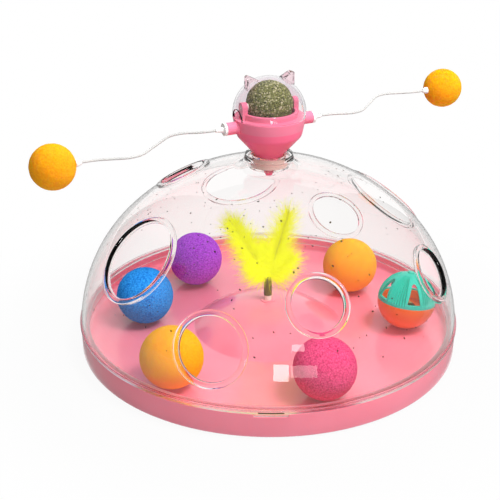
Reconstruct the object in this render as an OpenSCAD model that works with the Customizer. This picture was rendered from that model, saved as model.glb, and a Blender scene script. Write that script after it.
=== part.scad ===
// Cat puzzle feeder: a clear dome with paw holes stands on a shallow tray of balls,
// and a rotor with a catnip ball and two ball arms spins on the dome's neck.
// Millimetres, +Z up, origin on the table under the centre of the tray.

/* [Tray] */
// Outer diameter of the tray
tray_d = 250; // [240:1:262]
// Height of the tray's rim above the table
rim_z = 17; // [15.5:0.5:20]
// Height of the tray's floor above the table
floor_z = 6; // [5.5:0.25:8]
// Thickness of the tray's wall and floor
tray_wall = 2.4; // [2:0.1:3]
// Diameter of the central hump at its foot
hump_d = 100; // [88:1:104]
// Height of the hump's top above the table
hump_z = 25; // [22:0.5:28]
// Number of radial ribs under the floor
rib_count = 12; // [8:4:24]
// Thickness of a rib
rib_t = 1.6; // [1.2:0.1:2.4]
// Diameter of a rubber foot
foot_d = 16; // [12:0.5:20]
// How far the feet stand out below the tray's wall
foot_proud = 1; // [0.6:0.1:2]

/* [Dome] */
// Height of the dome's crown above the rim, without its neck
dome_rise = 106; // [102:1:112]
// How far the dome's widest level lies below the rim
dome_drop = 5; // [3:0.5:7]
// How much higher the crown lies than the dome's side arc would reach alone
crown_ease = 10; // [7:0.5:14]
// Thickness of the dome's wall
dome_wall = 2; // [1.6:0.1:2.6]
// Height of the flange on the dome's edge
flange_h = 2.2; // [1.6:0.1:2.6]
// How far the flange stands out past the tray
flange_out = 0.6; // [0.2:0.1:1.5]
// Depth of the skirt that drops inside the tray's wall
skirt_h = 4.5; // [3:0.5:6]
// Thickness of the skirt
skirt_t = 2; // [1.5:0.1:3]
// Width of a key on the dome's edge
key_w = 20; // [12:1:24]
// Depth of a key below the flange
key_h = 2; // [1.5:0.25:4]
// Diameter of the large paw holes
hole_large_d = 52; // [44:1:54]
// Diameter of the middle paw holes
hole_middle_d = 38; // [32:1:40]
// Diameter of the small paw holes
hole_small_d = 31; // [26:1:34]
// Thickness of the rounded lip round each paw hole
bead_w = 2.8; // [2.2:0.1:3.6]
// Depth of the lip along the hole
bead_h = 7.2; // [6.8:0.2:8]

/* [Neck] */
// Height of the neck's lip above the crown
neck_h = 6.5; // [5.5:0.25:8]
// Diameter of the neck's lip
lip_d = 30.4; // [29:0.2:34]
// Diameter of the neck's foot on the dome
neck_foot_d = 48; // [45:0.5:54]
// Diameter of the bearing well in the neck
well_d = 22.8; // [20:0.2:24]
// Thickness of the well's wall and floor
well_wall = 1.5; // [1.2:0.1:2]
// Depth of the well below the lip
well_depth = 8; // [7:0.25:10]

/* [Rotor] */
// Angle of the rotor's arms from the X axis
arm_angle = 25; // [0:1:90]
// Diameter of the cup's foot
cup_foot_d = 18.4; // [16:0.2:20]
// Diameter of the cup where its cone starts
cup_waist_d = 21; // [20.5:0.5:26]
// Diameter of the cup under its band
cup_band_d = 41; // [40:0.2:44]
// Diameter of the cup's top edge
cup_d = 46; // [45:0.2:50]
// Height of the cup's cone
cone_h = 11.2; // [10:0.2:14]
// Height of the cup's band
band_h = 12.2; // [11:0.2:14]
// Height of the ring round the catnip ball
ring_h = 3.6; // [2.6:0.2:4.4]
// Thickness of the ring
ring_t = 2; // [1.5:0.1:2.4]
// Diameter of the wire nozzles
nozzle_d = 7.8; // [7:0.2:8.6]
// How far a nozzle stands out of the cup's top edge
nozzle_out = 6.6; // [5:0.2:9]
// Width of a post that holds the axle
post_w = 6; // [5:0.2:7]
// Diameter of the spindle
spindle_d = 6; // [5:0.1:7]

/* [Catnip ball] */
// Gap between the catnip ball and the top of its cover
catnip_room = 1.2; // [0.8:0.1:2]
// Height of the ball's centre above the cup's top edge
catnip_up = 7.3; // [7:0.1:8]
// Diameter of the axle
axle_d = 3; // [2.4:0.1:3.4]

/* [Cover] */
// Height of the cover's centre above the cup's top edge
cover_up = 1.7; // [1:0.1:3]
// Thickness of the cover's wall
cover_wall = 1.3; // [1:0.1:1.6]
// Radius of the arch cut out over each nozzle
arch_r = 6.5; // [5:0.25:8]
// Height of an ear above the cover
ear_h = 6.2; // [4:0.2:8]
// Width of an ear where it meets the cover
ear_w = 14.5; // [11:0.5:18]
// Thickness of an ear
ear_t = 5; // [3:0.2:7]

/* [Arms] */
// Diameter of the coated spring wire
wire_d = 1.4; // [1.2:0.1:1.8]
// Radius of the two main bends of an arm
bend_r = 16; // [14:0.5:20]
// Angle of the first main bend
bend_angle = 66; // [50:1:70]
// Length of the straight wire between the main bends
mid_run = 27; // [20:0.5:34]
// Diameter of a wing ball
wing_d = 26.4; // [22:0.2:30]
// Diameter of the cap where the wire enters its ball
cap_d = 4.4; // [3.6:0.2:6]

/* [Loose balls] */
// Diameter of the plush and plain balls
ball_d = 38.8; // [34:0.2:40]
// Thickness of the bell ball's shell
bell_wall = 1.9; // [1.5:0.1:2.5]
// Number of arched windows in the bell ball's upper half
window_count = 5; // [4:1:6]
// Width of a window
window_w = 8; // [6:0.5:9]
// Diameter of the jingle bell inside
jingle_d = 16; // [12:0.5:20]

/* [Feather] */
// Diameter of the feather's plug above the hump
plug_d = 5.2; // [4.6:0.1:6.4]
// Height of the plug above the hump
plug_h = 3.4; // [2.6:0.1:5]
// Length of the sleeve that grips the quills
sleeve_h = 13; // [10:0.5:18]
// Diameter of the sleeve
sleeve_d = 5.4; // [4.8:0.1:7]
// Length of the left plume along its quill
plume_left = 50; // [40:1:56]
// Length of the right plume along its quill
plume_right = 52; // [40:1:58]
// Greatest width of a plume
plume_w = 17; // [12:0.5:18]
// Thickness of a plume
plume_t = 10; // [6:0.5:14]

/* [Fits] */
// Gap between pieces that lift off or lie loose
clear = 0.3; // [0.2:0.05:0.5]
// Radial gap of a turning fit
run_fit = 0.06; // [0.03:0.01:0.1]
// Radial gap of a pushed-in fit
push_fit = 0.05; // [0.02:0.01:0.1]

/* [Hidden] */
$fn = 96;
eps = 0.01;

// Tray
tray_r = tray_d / 2;
tray_in_r = tray_r - tray_wall;
floor_under = floor_z - tray_wall;
hump_r = hump_d / 2;
hump_rise = hump_z - floor_z;
hump_sphere_r = (hump_r * hump_r + hump_rise * hump_rise) / (2 * hump_rise);
hump_sphere_z = hump_z - hump_sphere_r;
foot_offset = 18;
foot_ring = (hump_r + tray_in_r) / 2 + foot_offset;
foot_chamfer = 0.6;
boss_lift = 0.4;
rib_lift = 0.6;
foot_count = 4;
foot_wall = 1.6;
socket_boss_r = 5;
socket_depth = 9;
edge_r = 1.2;

// Dome: a side arc and a crown arc that meet in one tangent
dome_r = tray_r;
dome_z = rim_z - dome_drop;
dome_h = dome_rise + dome_drop;
side_r = dome_h - crown_ease;
side_x = dome_r - side_r;
crown_r = (side_x * side_x + dome_h * dome_h - side_r * side_r) / (2 * crown_ease);
crown_cz = dome_z + dome_h - crown_r;
meet_angle = atan2(dome_z - crown_cz, side_x);
flange_r = tray_r + flange_out;
flange_in_r = tray_in_r - clear - skirt_t;
key_count = 4;
bead_r = bead_w / 2;
bead_lift = 0.2;
bead_step = 60;
dome_step = 5;
cut_in = 14;
cut_out = 10;
mean_r = (side_r + crown_r) / 2;
function dome_at(el) = el > meet_angle
    ? [crown_r * cos(el), crown_cz + crown_r * sin(el)]
    : [side_x + side_r * cos(el), dome_z + side_r * sin(el)];
function crown_level(r) = crown_cz + sqrt(crown_r * crown_r - r * r);
function arc(c, r, from, to, first = 0) =
    let (n = ceil(abs(to - from) / dome_step))
    [
        for (i = [first : n])
            let (a = from + (to - from) * i / n)
            [c.x + r * cos(a), c.y + r * sin(a)]
    ];
// Each paw hole: direction round the axis, slope of its axis above level, diameter
paw_holes = [
    [213, 43.5, hole_large_d],
    [33, 42, hole_large_d],
    [101, 37.5, hole_large_d],
    [252.5, 23, hole_middle_d],
    [63, 18, hole_middle_d],
    [285, 38, hole_small_d],
    [338, 32, hole_small_d],
    [160, 63.5, hole_small_d]
];

// Neck
crown_z = rim_z + dome_rise;
lip_z = crown_z + neck_h;
lip_r = lip_d / 2;
foot_r = neck_foot_d / 2;
flare_r = foot_r - lip_r;
flare_z = crown_level(foot_r) + flare_r;
well_r = well_d / 2;
well_top = lip_z - well_depth;
well_under = well_top - well_wall;
neck_web = 3.5;
bush_room = 0.5;
spindle_r = spindle_d / 2;
spindle_bore_r = spindle_r + run_fit;

// Rotor
cup_sink = 1;
cup_z = lip_z - cup_sink;
cup_foot_h = 1.4;
cup_flare_h = 0.7;
cone_z = cup_z + cup_foot_h + cup_flare_h;
band_z = cone_z + cone_h;
ledge_z = band_z + band_h;
cup_r = cup_d / 2;
catnip_r = cup_r - cover_wall - catnip_room - catnip_up + cover_up;
catnip_z = ledge_z + catnip_up;
catnip_gap = 0.7;
ring_in_r = catnip_r + catnip_gap;
ring_r = ring_in_r + ring_t;
bowl_drop = 5;
nozzle_r = nozzle_d / 2;
nozzle_reach = cup_r + nozzle_out;
nozzle_drop = 5;
nozzle_z = ledge_z - nozzle_drop;
nozzle_bore_r = 2.5;
nozzle_bore_depth = 10;
axle_r = axle_d / 2;
axle_bore_r = axle_r + run_fit;
collar_step = 0.8;
post_inset = 0.2;
post_in = ring_in_r + post_inset;
post_t = 3.4;
stud_r = 4;
stud_h = 6;
shoulder_r = 6;
barb_out = 0.8;
barb_r = spindle_r + barb_out;
barb_h = 7;
barb_tip_r = 2;
barb_slot = 1.2;

// Cover
cover_z = ledge_z + cover_up;
cover_r = cup_r;
cover_in_r = cover_r - cover_wall;
ear_lean = 32;
ear_round = 1.6;
ear_wall = 1;
ear_root = 3;

// Arms: each move is a straight length, a bend radius and a turn to the left
ferrule_flange = 1.6;
ferrule_taper = 5.2;
ferrule_root_r = 1.9;
ferrule_tip_r = 1.1;
wire_r = wire_d / 2;
wire_bore_r = wire_r + push_fit;
wire_inner = nozzle_reach - nozzle_bore_depth + 1;
wire_lead = nozzle_reach + ferrule_flange + ferrule_taper;
wire_straight = 1.6;
sweep_r = 37;
tail_r = 36;
arm_moves = [
    [wire_lead - wire_inner + wire_straight, sweep_r, -22],
    [0, bend_r, bend_angle],
    [mid_run, bend_r, 6 - bend_angle],
    [9, tail_r, 18]
];
ball_reach = 19.5;
wing_r = wing_d / 2;
cap_r = cap_d / 2;
cap_rim = 1;
cap_taper = 2.4;
cap_tip = 0.5;
function ahead(s, d) = [s.x + d * cos(s.z), s.y + d * sin(s.z), s.z];
function bent(s, r, a) =
    let (k = a < 0 ? -1 : 1, cx = s.x - k * r * sin(s.z), cy = s.y + k * r * cos(s.z))
    [cx + k * r * sin(s.z + a), cy - k * r * cos(s.z + a), s.z + a];
function arm_state(i) = i == 0
    ? [wire_inner * cos(arm_angle), wire_inner * sin(arm_angle), arm_angle]
    : let (m = arm_moves[i - 1]) bent(ahead(arm_state(i - 1), m[0]), m[1], m[2]);
arm_end = arm_state(len(arm_moves));
wing_at = ahead(arm_end, ball_reach);
wire_sides = 12;
wire_step = 6;
wire_route = concat(
    [arm_state(0)],
    [
        for (i = [0 : len(arm_moves) - 1])
            let (m = arm_moves[i], s = ahead(arm_state(i), m[0]), n = ceil(abs(m[2]) / wire_step))
                for (k = [m[0] > 0 ? 0 : 1 : n])
                    bent(s, m[1], m[2] * k / n)
    ],
    [wing_at]
);

// Loose balls: place on the track as distance from its middle line and direction
ball_r = ball_d / 2;
track_r = (hump_r + tray_in_r) / 2;
ball_z = floor_z + ball_r + clear;
blue_at = [-3, 177];
purple_at = [-5, 129.6];
pink_at = [8.5, -70];
front_at = [10.5, 232.2];
rear_at = [-7, 40.8];
bell_at = [7, -1.4];
bell_in_r = ball_r - bell_wall;
bell_lean = 49;
bell_tilt = 9;
bell_turn = 9;
lap_h = 1.8;
lap_drop = 3.6;
lap_t = 1.1;
lap_r = sqrt(bell_in_r * bell_in_r - lap_h * lap_h) - push_fit;
window_foot = 2.6;
window_rise = 10;
window_top_r = 1.9;
window_step = 15;
nub_r = 2.2;
nub_h = 0.9;
jingle_r = jingle_d / 2;
jingle_wall = 0.6;
jingle_slot = 1.6;
jingle_rim = 0.5;
jingle_seam = 0.8;
jingle_z = ball_z - bell_in_r + jingle_r + clear;
pellet_r = 2;

// Feather
plug_r = plug_d / 2;
shank_step = 0.5;
shank_r = plug_r - shank_step;
socket_r = shank_r + 2 * push_fit;
seat_up = 0.4;
seat_z = hump_z + seat_up;
plug_z = seat_z + plug_h;
spigot_r = 1.2;
spigot_h = 4;
sleeve_r = sleeve_d / 2;
sleeve_bore_r = spigot_r + push_fit;
sleeve_z = plug_z + sleeve_h;
quill_r = 0.45;
quill_stub_r = 0.5;
quill_bore_r = quill_r + push_fit;
quill_apart = 0.55;
quill_grip = 5;
plume_start = 8;
left_lean = -31;
right_lean = 15;
quill_share = 0.8;

module polar(at) {
    rotate([0, 0, at[1]])
        translate([track_r + at[0], 0, 0])
            children();
}

// Tray

module tray_profile() {
    difference() {
        union() {
            translate([0, foot_proud])
                square([tray_r, rim_z - foot_proud]);
            hump_outline(0);
        }
        translate([0, floor_z])
            difference() {
                square([tray_in_r, rim_z]);
                translate([0, -floor_z])
                    hump_outline(0);
            }
        hump_outline(tray_wall);
        translate([hump_r - tray_wall, -eps])
            square([tray_in_r - hump_r + tray_wall, floor_under + eps]);
        translate([-eps, -eps])
            square([hump_r, foot_proud + eps]);
        translate([tray_r, foot_proud])
            rotate([0, 0, 45])
                square(edge_r, center = true);
    }
}

module hump_outline(inset) {
    intersection() {
        translate([0, hump_sphere_z])
            circle(hump_sphere_r - inset, $fn = 256);
        square([hump_r, hump_z]);
    }
}

module base_tray() {
    color("#E8849F")
    difference() {
        union() {
            rotate_extrude()
                tray_profile();
            translate([0, 0, hump_z - socket_depth - tray_wall])
                cylinder(r = socket_boss_r, h = seat_z - hump_z + socket_depth + tray_wall);
            tray_ribs();
            for (i = [0 : foot_count - 1])
                rotate([0, 0, (i + 0.5) * 360 / foot_count])
                    translate([foot_ring, 0, foot_proud + boss_lift])
                        cylinder(r = foot_d / 2 + clear + foot_wall, h = floor_under - foot_proud);
        }
        translate([0, 0, seat_z - socket_depth])
            cylinder(r = socket_r, h = socket_depth + 1);
        for (i = [0 : foot_count - 1])
            rotate([0, 0, (i + 0.5) * 360 / foot_count])
                translate([foot_ring, 0, -1])
                    cylinder(r = foot_d / 2 + clear, h = floor_under + 1);
        for (i = [0 : key_count - 1])
            rotate([0, 0, i * 360 / key_count])
                translate([tray_in_r - 1, -key_w / 2 - clear, rim_z - key_h - clear])
                    cube([tray_wall + 2, key_w + 2 * clear, key_h + 1]);
    }
}

module tray_ribs() {
    intersection() {
        for (i = [0 : rib_count - 1])
            rotate([0, 0, i * 360 / rib_count])
                translate([hump_r - tray_wall, -rib_t / 2, foot_proud + rib_lift])
                    cube([tray_in_r - hump_r + 2 * tray_wall, rib_t, floor_under - foot_proud]);
        cylinder(r = tray_r - tray_wall / 2, h = rim_z);
    }
}

module foot_pads() {
    color("#DADADA")
    for (i = [0 : foot_count - 1])
        rotate([0, 0, (i + 0.5) * 360 / foot_count])
            translate([foot_ring, 0, 0]) {
                cylinder(r1 = foot_d / 2 - foot_chamfer, r2 = foot_d / 2, h = foot_chamfer);
                translate([0, 0, foot_chamfer])
                    cylinder(r = foot_d / 2, h = floor_under - foot_chamfer);
            }
}

// Dome

// One outline: skirt, flange, the outer face up to the lip, the well, and the inner face down again
module dome_profile() {
    side_c = [side_x, dome_z];
    crown_c = [0, crown_cz];
    flare_c = [foot_r, flare_z];
    flange_z = rim_z + flange_h;
    side_in_r = side_r - dome_wall;
    crown_in_r = crown_r - dome_wall;
    flare_in_r = flare_r + dome_wall;
    polygon(concat(
        [
            [flange_in_r, rim_z - skirt_h],
            [flange_in_r + skirt_t, rim_z - skirt_h],
            [flange_in_r + skirt_t, rim_z],
            [flange_r, rim_z],
            [flange_r, flange_z]
        ],
        arc(side_c, side_r, asin((flange_z - dome_z) / side_r), meet_angle),
        arc(crown_c, crown_r, meet_angle, acos(foot_r / crown_r), 1),
        arc(flare_c, flare_r, 270, 180 + asin(max(0, flare_z - lip_z) / flare_r), 1),
        [
            [lip_r, lip_z],
            [well_r, lip_z],
            [well_r, well_top],
            [spindle_bore_r, well_top],
            [spindle_bore_r, well_under],
            [well_r + well_wall, well_under],
            [well_r + well_wall, lip_z - neck_web]
        ],
        arc(flare_c, flare_in_r, 180 + asin((flare_z - lip_z + neck_web) / flare_in_r), 270),
        arc(crown_c, crown_in_r, acos(foot_r / crown_in_r), meet_angle, 1),
        arc(side_c, side_in_r, meet_angle, asin((flange_z - dome_z) / side_in_r), 1),
        [[flange_in_r, flange_z]]
    ));
}

module at_hole(h) {
    p = dome_at(h[1]);
    rotate([0, 0, h[0]])
        translate([p.x, 0, p.y])
            rotate([0, 90 - h[1], 0])
                children();
}

module hole_bead(d) {
    r = d / 2 + bead_r;
    sag = mean_r - sqrt(mean_r * mean_r - r * r);
    half = bead_h / 2 - bead_r;
    translate([0, 0, bead_lift - sag - dome_wall / 2])
        rotate_extrude()
            polygon([
                for (e = [0, 180])
                    for (a = [0 : bead_step : 180])
                        [r + bead_r * cos(a + e), (e > 0 ? -half : half) + bead_r * sin(a + e)]
            ]);
}

module dome_keys() {
    intersection() {
        translate([0, 0, rim_z - key_h])
            difference() {
                cylinder(r = tray_r, h = key_h + flange_h / 2);
                translate([0, 0, -1])
                    cylinder(r = flange_in_r + skirt_t / 2, h = rim_z);
            }
        for (i = [0 : key_count / 2 - 1])
            rotate([0, 0, i * 360 / key_count])
                translate([-2 * dome_r, -key_w / 2, 0])
                    cube([4 * dome_r, key_w, 2 * rim_z]);
    }
}

module dome_cover() {
    color("#DCE6EA")
    union() {
        difference() {
            union() {
                rotate_extrude()
                    dome_profile();
                dome_keys();
            }
            for (h = paw_holes)
                at_hole(h)
                    translate([0, 0, -cut_in])
                        cylinder(r = h[2] / 2 + bead_r, h = cut_in + cut_out);
        }
        for (h = paw_holes)
            at_hole(h)
                hole_bead(h[2]);
    }
}

// The sleeve that lines the well
module neck_bushing() {
    bush_z = well_top + push_fit;
    bush_h = cup_z - clear - bush_z;
    color("#E6C8BC")
    translate([0, 0, bush_z])
        difference() {
            cylinder(r = well_r - push_fit, h = bush_h);
            translate([0, 0, -1])
                cylinder(r = cup_foot_d / 2 + bush_room, h = bush_h + 2);
        }
}

// Rotor

module along_arm(z) {
    translate([0, 0, z])
        rotate([0, 0, arm_angle])
            rotate([0, 90, 0])
                children();
}

module both_arms() {
    for (a = [0, 180])
        rotate([0, 0, a])
            children();
}

module cup_profile() {
    polygon([
        [0, cup_z],
        [cup_foot_d / 2, cup_z],
        [cup_foot_d / 2, cup_z + cup_foot_h],
        [cup_waist_d / 2, cone_z],
        [cup_band_d / 2, band_z],
        [cup_r, ledge_z],
        [ring_r, ledge_z],
        [ring_r, ledge_z + ring_h - ring_t / 2],
        [ring_in_r, ledge_z + ring_h - ring_t / 2],
        [0, ledge_z]
    ]);
    translate([ring_in_r + ring_t / 2, ledge_z + ring_h - ring_t / 2])
        circle(ring_t / 2);
}

module hub_cup() {
    color("#E4587E")
    difference() {
        union() {
            rotate_extrude()
                cup_profile();
            both_arms()
                along_arm(nozzle_z)
                    cylinder(r = nozzle_r, h = nozzle_reach);
            both_arms()
                axle_post();
        }
        translate([0, 0, catnip_z - bowl_drop]) {
            sphere(r = ring_in_r);
            cylinder(r = ring_in_r, h = bowl_drop + catnip_r);
        }
        both_arms()
            along_arm(nozzle_z)
                translate([0, 0, nozzle_reach - nozzle_bore_depth])
                    cylinder(r = nozzle_bore_r, h = nozzle_bore_depth + 1);
        both_arms()
            along_arm(catnip_z)
                cylinder(r = axle_bore_r, h = cup_r);
        translate([0, 0, cup_z - 1])
            cylinder(r = stud_r + push_fit, h = stud_h + 1 + clear);
    }
}

module axle_post() {
    rotate([0, 0, arm_angle])
        translate([post_in, 0, 0]) {
            translate([0, -post_w / 2, ledge_z - 1])
                cube([post_t, post_w, catnip_up + 1]);
            translate([0, 0, catnip_z])
                rotate([0, 90, 0])
                    cylinder(d = post_w, h = post_t);
        }
}

module hub_spindle() {
    shoulder_z = well_top + clear;
    barb_top = well_under - clear;
    color("#D84C72")
    difference() {
        union() {
            translate([0, 0, cup_z])
                cylinder(r = stud_r, h = stud_h);
            translate([0, 0, shoulder_z])
                cylinder(r = shoulder_r, h = cup_z - shoulder_z);
            translate([0, 0, barb_top - eps])
                cylinder(r = spindle_r, h = shoulder_z - barb_top + 2 * eps);
            translate([0, 0, barb_top - barb_h])
                cylinder(r1 = barb_tip_r, r2 = barb_r, h = barb_h);
        }
        translate([-barb_r, -barb_slot / 2, barb_top - barb_h - 1])
            cube([2 * barb_r, barb_slot, barb_h + 0.5]);
    }
}

// Catnip ball and its cover

module catnip_ball() {
    color("#6F7F45")
    difference() {
        translate([0, 0, catnip_z])
            sphere(r = catnip_r);
        along_arm(catnip_z)
            translate([0, 0, -catnip_r - 1])
                cylinder(r = axle_r + push_fit, h = 2 * catnip_r + 2);
    }
}

module catnip_axle() {
    half = post_in + post_t - clear;
    collar_r = axle_r + collar_step;
    collar_in = sqrt(catnip_r * catnip_r - axle_r * axle_r) + clear / 3;
    color("#E9DCC3")
    along_arm(catnip_z) {
        translate([0, 0, -half])
            cylinder(r = axle_r, h = 2 * half);
        for (s = [-1, 1])
            translate([0, 0, s * (collar_in + post_in - clear) / 2])
                cylinder(r = collar_r, h = post_in - clear - collar_in, center = true);
    }
}

module ear_outline(inset) {
    w = ear_w / 2 - inset;
    top = cover_r + ear_h - inset;
    low = cover_in_r - ear_root;
    polygon(concat(
        [[-w, low], [w, low]],
        [for (a = [20 : 20 : 160]) [ear_round * cos(a), top - ear_round + ear_round * sin(a)]]
    ));
}

module cover_ear() {
    rotate([0, 0, arm_angle])
        translate([0, 0, cover_z])
            rotate([0, ear_lean, 0])
                rotate([90, 0, 0])
                    difference() {
                        linear_extrude(ear_t, center = true)
                            ear_outline(0);
                        translate([0, 0, ear_wall])
                            linear_extrude(ear_t, center = true)
                                ear_outline(2 * ear_wall);
                    }
}

module catnip_cover() {
    color("#E6EDF0")
    difference() {
        union() {
            translate([0, 0, cover_z])
                sphere(r = cover_r);
            both_arms()
                cover_ear();
        }
        translate([0, 0, cover_z])
            sphere(r = cover_in_r);
        translate([-cup_d, -cup_d, ledge_z - cup_d])
            cube([2 * cup_d, 2 * cup_d, cup_d]);
        both_arms()
            along_arm(ledge_z)
                cylinder(r = arch_r, h = cup_d);
    }
}

// Arms

module wire_ferrule(side) {
    color("#F2F0EC")
    rotate([0, 0, side])
        along_arm(nozzle_z)
            difference() {
                union() {
                    translate([0, 0, nozzle_reach - nozzle_bore_depth + 0.5])
                        cylinder(r = nozzle_bore_r - push_fit, h = nozzle_bore_depth);
                    translate([0, 0, nozzle_reach])
                        cylinder(r = nozzle_r, h = ferrule_flange);
                    translate([0, 0, nozzle_reach + ferrule_flange])
                        cylinder(r1 = ferrule_root_r, r2 = ferrule_tip_r, h = ferrule_taper);
                }
                translate([0, 0, wire_inner - 1])
                    cylinder(r = wire_bore_r, h = wire_lead);
            }
}

// The wire is one tube swept along its straights and bends
module arm_wire(side) {
    n = len(wire_route);
    ring = [for (k = [0 : wire_sides - 1]) 360 * k / wire_sides];
    points = [
        for (s = wire_route)
            for (a = ring)
                [s.x - wire_r * cos(a) * sin(s.z), s.y + wire_r * cos(a) * cos(s.z), nozzle_z + wire_r * sin(a)]
    ];
    sides = [
        for (i = [0 : n - 2])
            for (k = [0 : wire_sides - 1])
                let (j = (k + 1) % wire_sides, p = i * wire_sides, q = p + wire_sides)
                    [p + k, q + k, q + j, p + j]
    ];
    ends = [
        [for (k = [0 : wire_sides - 1]) k],
        [for (k = [wire_sides - 1 : -1 : 0]) (n - 1) * wire_sides + k]
    ];
    color("#F4F4F2")
    rotate([0, 0, side])
        polyhedron(points, concat(sides, ends));
}

module at_wing(side) {
    rotate([0, 0, side])
        translate([wing_at.x, wing_at.y, nozzle_z])
            rotate([0, 0, wing_at.z + 180])
                rotate([0, 90, 0])
                    children();
}

module ball_cap(side) {
    color("#F2F0EC")
    at_wing(side)
        translate([0, 0, wing_r + clear / 6])
            difference() {
                union() {
                    cylinder(r = cap_r, h = cap_rim);
                    translate([0, 0, cap_rim])
                        cylinder(r1 = cap_r, r2 = wire_r + cap_tip, h = cap_taper);
                }
                translate([0, 0, -1])
                    cylinder(r = wire_bore_r, h = cap_rim + cap_taper + 2);
            }
}

module wing_ball(side) {
    color("#F9AE2B")
    at_wing(side)
        difference() {
            sphere(r = wing_r);
            translate([0, 0, -1])
                cylinder(r = wire_bore_r, h = wing_r + 2);
        }
}

// Feather

module feather_plug() {
    color("#D9A48F")
    union() {
        translate([0, 0, seat_z - socket_depth + 1])
            cylinder(r = shank_r, h = socket_depth - 1);
        translate([0, 0, seat_z])
            cylinder(r = plug_r, h = plug_h);
        translate([0, 0, plug_z])
            cylinder(r = spigot_r, h = spigot_h);
    }
}

module feather_sleeve() {
    color("#5B5E33")
    translate([0, 0, plug_z])
        difference() {
            cylinder(r = sleeve_r, h = sleeve_h);
            translate([0, 0, -1])
                cylinder(r = sleeve_bore_r, h = sleeve_h + 2);
        }
}

module at_quill(lean) {
    translate([lean < 0 ? -quill_apart : quill_apart, 0, sleeve_z])
        rotate([0, lean, 0])
            children();
}

module feather_quill(lean, run) {
    translate([lean < 0 ? -quill_apart : quill_apart, 0, sleeve_z - quill_grip])
        cylinder(r = quill_stub_r, h = quill_grip + quill_r);
    at_quill(lean)
        cylinder(r = quill_r, h = plume_start + quill_share * run);
}

module feather_quills() {
    color("#EFEFB0")
    union() {
        feather_quill(left_lean, plume_left);
        feather_quill(right_lean, plume_right);
    }
}

// A plume is a leaf: two arcs that meet at its tips, with a bore for its quill
module plume(lean, run) {
    half = run / 2;
    arc_r = (half * half + plume_w * plume_w / 4) / plume_w;
    at_quill(lean)
        difference() {
            translate([0, 0, plume_start])
                rotate([90, 0, 0])
                    linear_extrude(plume_t, center = true)
                        intersection_for (s = [-1, 1])
                            translate([s * (arc_r - plume_w / 2), half])
                                circle(arc_r, $fn = 256);
            cylinder(r = quill_bore_r, h = plume_start + quill_share * run + clear);
        }
}

module feather_plume_left() {
    color("#EAF23C")
        plume(left_lean, plume_left);
}

module feather_plume_right() {
    color("#F3F04A")
        plume(right_lean, plume_right);
}

// Loose balls

module loose_ball(at) {
    polar(at)
        translate([0, 0, ball_z])
            sphere(r = ball_r);
}

module plush_ball_blue() {
    color("#3C8FDC")
        loose_ball(blue_at);
}

module plush_ball_purple() {
    color("#8E3FBF")
        loose_ball(purple_at);
}

module plush_ball_pink() {
    color("#DE4C92")
        loose_ball(pink_at);
}

module bounce_ball_front() {
    color("#F8A92C")
        loose_ball(front_at);
}

module bounce_ball_rear() {
    color("#F8A92C")
        loose_ball(rear_at);
}

module in_bell_ball() {
    polar(bell_at)
        translate([0, 0, ball_z])
            rotate([0, 0, bell_lean - bell_at[1]])
                rotate([0, bell_tilt, 0])
                    rotate([0, 0, bell_turn])
                        children();
}

module upper_half(r) {
    intersection() {
        sphere(r = r);
        cylinder(r = 2 * r, h = 2 * r);
    }
}

module window_cut() {
    r = window_w / 2;
    rotate([90, 0, 90])
        linear_extrude(2 * ball_r)
            polygon(concat(
                [[-r, window_foot], [r, window_foot]],
                [
                    for (a = [0 : window_step : 180])
                        [window_top_r * cos(a), window_foot + window_rise + window_top_r * sin(a)]
                ]
            ));
}

module bell_ball_upper() {
    color("#2FC9A4")
    in_bell_ball()
        difference() {
            union() {
                upper_half(ball_r);
                translate([0, 0, ball_r - nub_h])
                    cylinder(r = nub_r, h = 2 * nub_h);
            }
            sphere(r = bell_in_r);
            for (i = [0 : window_count - 1])
                rotate([0, 0, i * 360 / window_count])
                    window_cut();
        }
}

module bell_ball_lower() {
    color("#EE6A2C")
    in_bell_ball() {
        difference() {
            rotate([180, 0, 0])
                upper_half(ball_r);
            sphere(r = bell_in_r);
        }
        difference() {
            translate([0, 0, -lap_drop])
                cylinder(r = lap_r, h = lap_drop + lap_h);
            translate([0, 0, -lap_drop - 1])
                cylinder(r = lap_r - lap_t, h = lap_drop + lap_h + 2);
        }
    }
}

module jingle_bell() {
    color("#D8B45A")
    polar(bell_at)
        translate([0, 0, jingle_z])
            difference() {
                union() {
                    sphere(r = jingle_r);
                    cylinder(r = jingle_r + jingle_rim, h = jingle_seam, center = true);
                }
                sphere(r = jingle_r - jingle_wall);
                for (a = [0, 90])
                    rotate([0, 0, a])
                        translate([-jingle_r, -jingle_slot / 2, -2 * jingle_r])
                            cube([2 * jingle_r, jingle_slot, 1.6 * jingle_r]);
            }
}

module bell_pellet() {
    color("#A7A7A7")
    polar(bell_at)
        translate([0, 0, jingle_z - jingle_r + jingle_wall + pellet_r + clear])
            sphere(r = pellet_r);
}

base_tray();
foot_pads();
dome_cover();
neck_bushing();
hub_cup();
hub_spindle();
catnip_ball();
catnip_axle();
catnip_cover();
wire_ferrule(180);  // wire_ferrule_left
wire_ferrule(0);  // wire_ferrule_right
arm_wire(180);  // arm_wire_left
arm_wire(0);  // arm_wire_right
ball_cap(180);  // ball_cap_left
ball_cap(0);  // ball_cap_right
wing_ball(180);  // wing_ball_left
wing_ball(0);  // wing_ball_right
feather_plug();
feather_sleeve();
feather_quills();
feather_plume_left();
feather_plume_right();
plush_ball_blue();
plush_ball_purple();
plush_ball_pink();
bounce_ball_front();
bounce_ball_rear();
bell_ball_upper();
bell_ball_lower();
jingle_bell();
bell_pellet();
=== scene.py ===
"""Looks of the cat puzzle feeder: clear dome, ball tray, feather and spinning catnip cup."""

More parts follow.
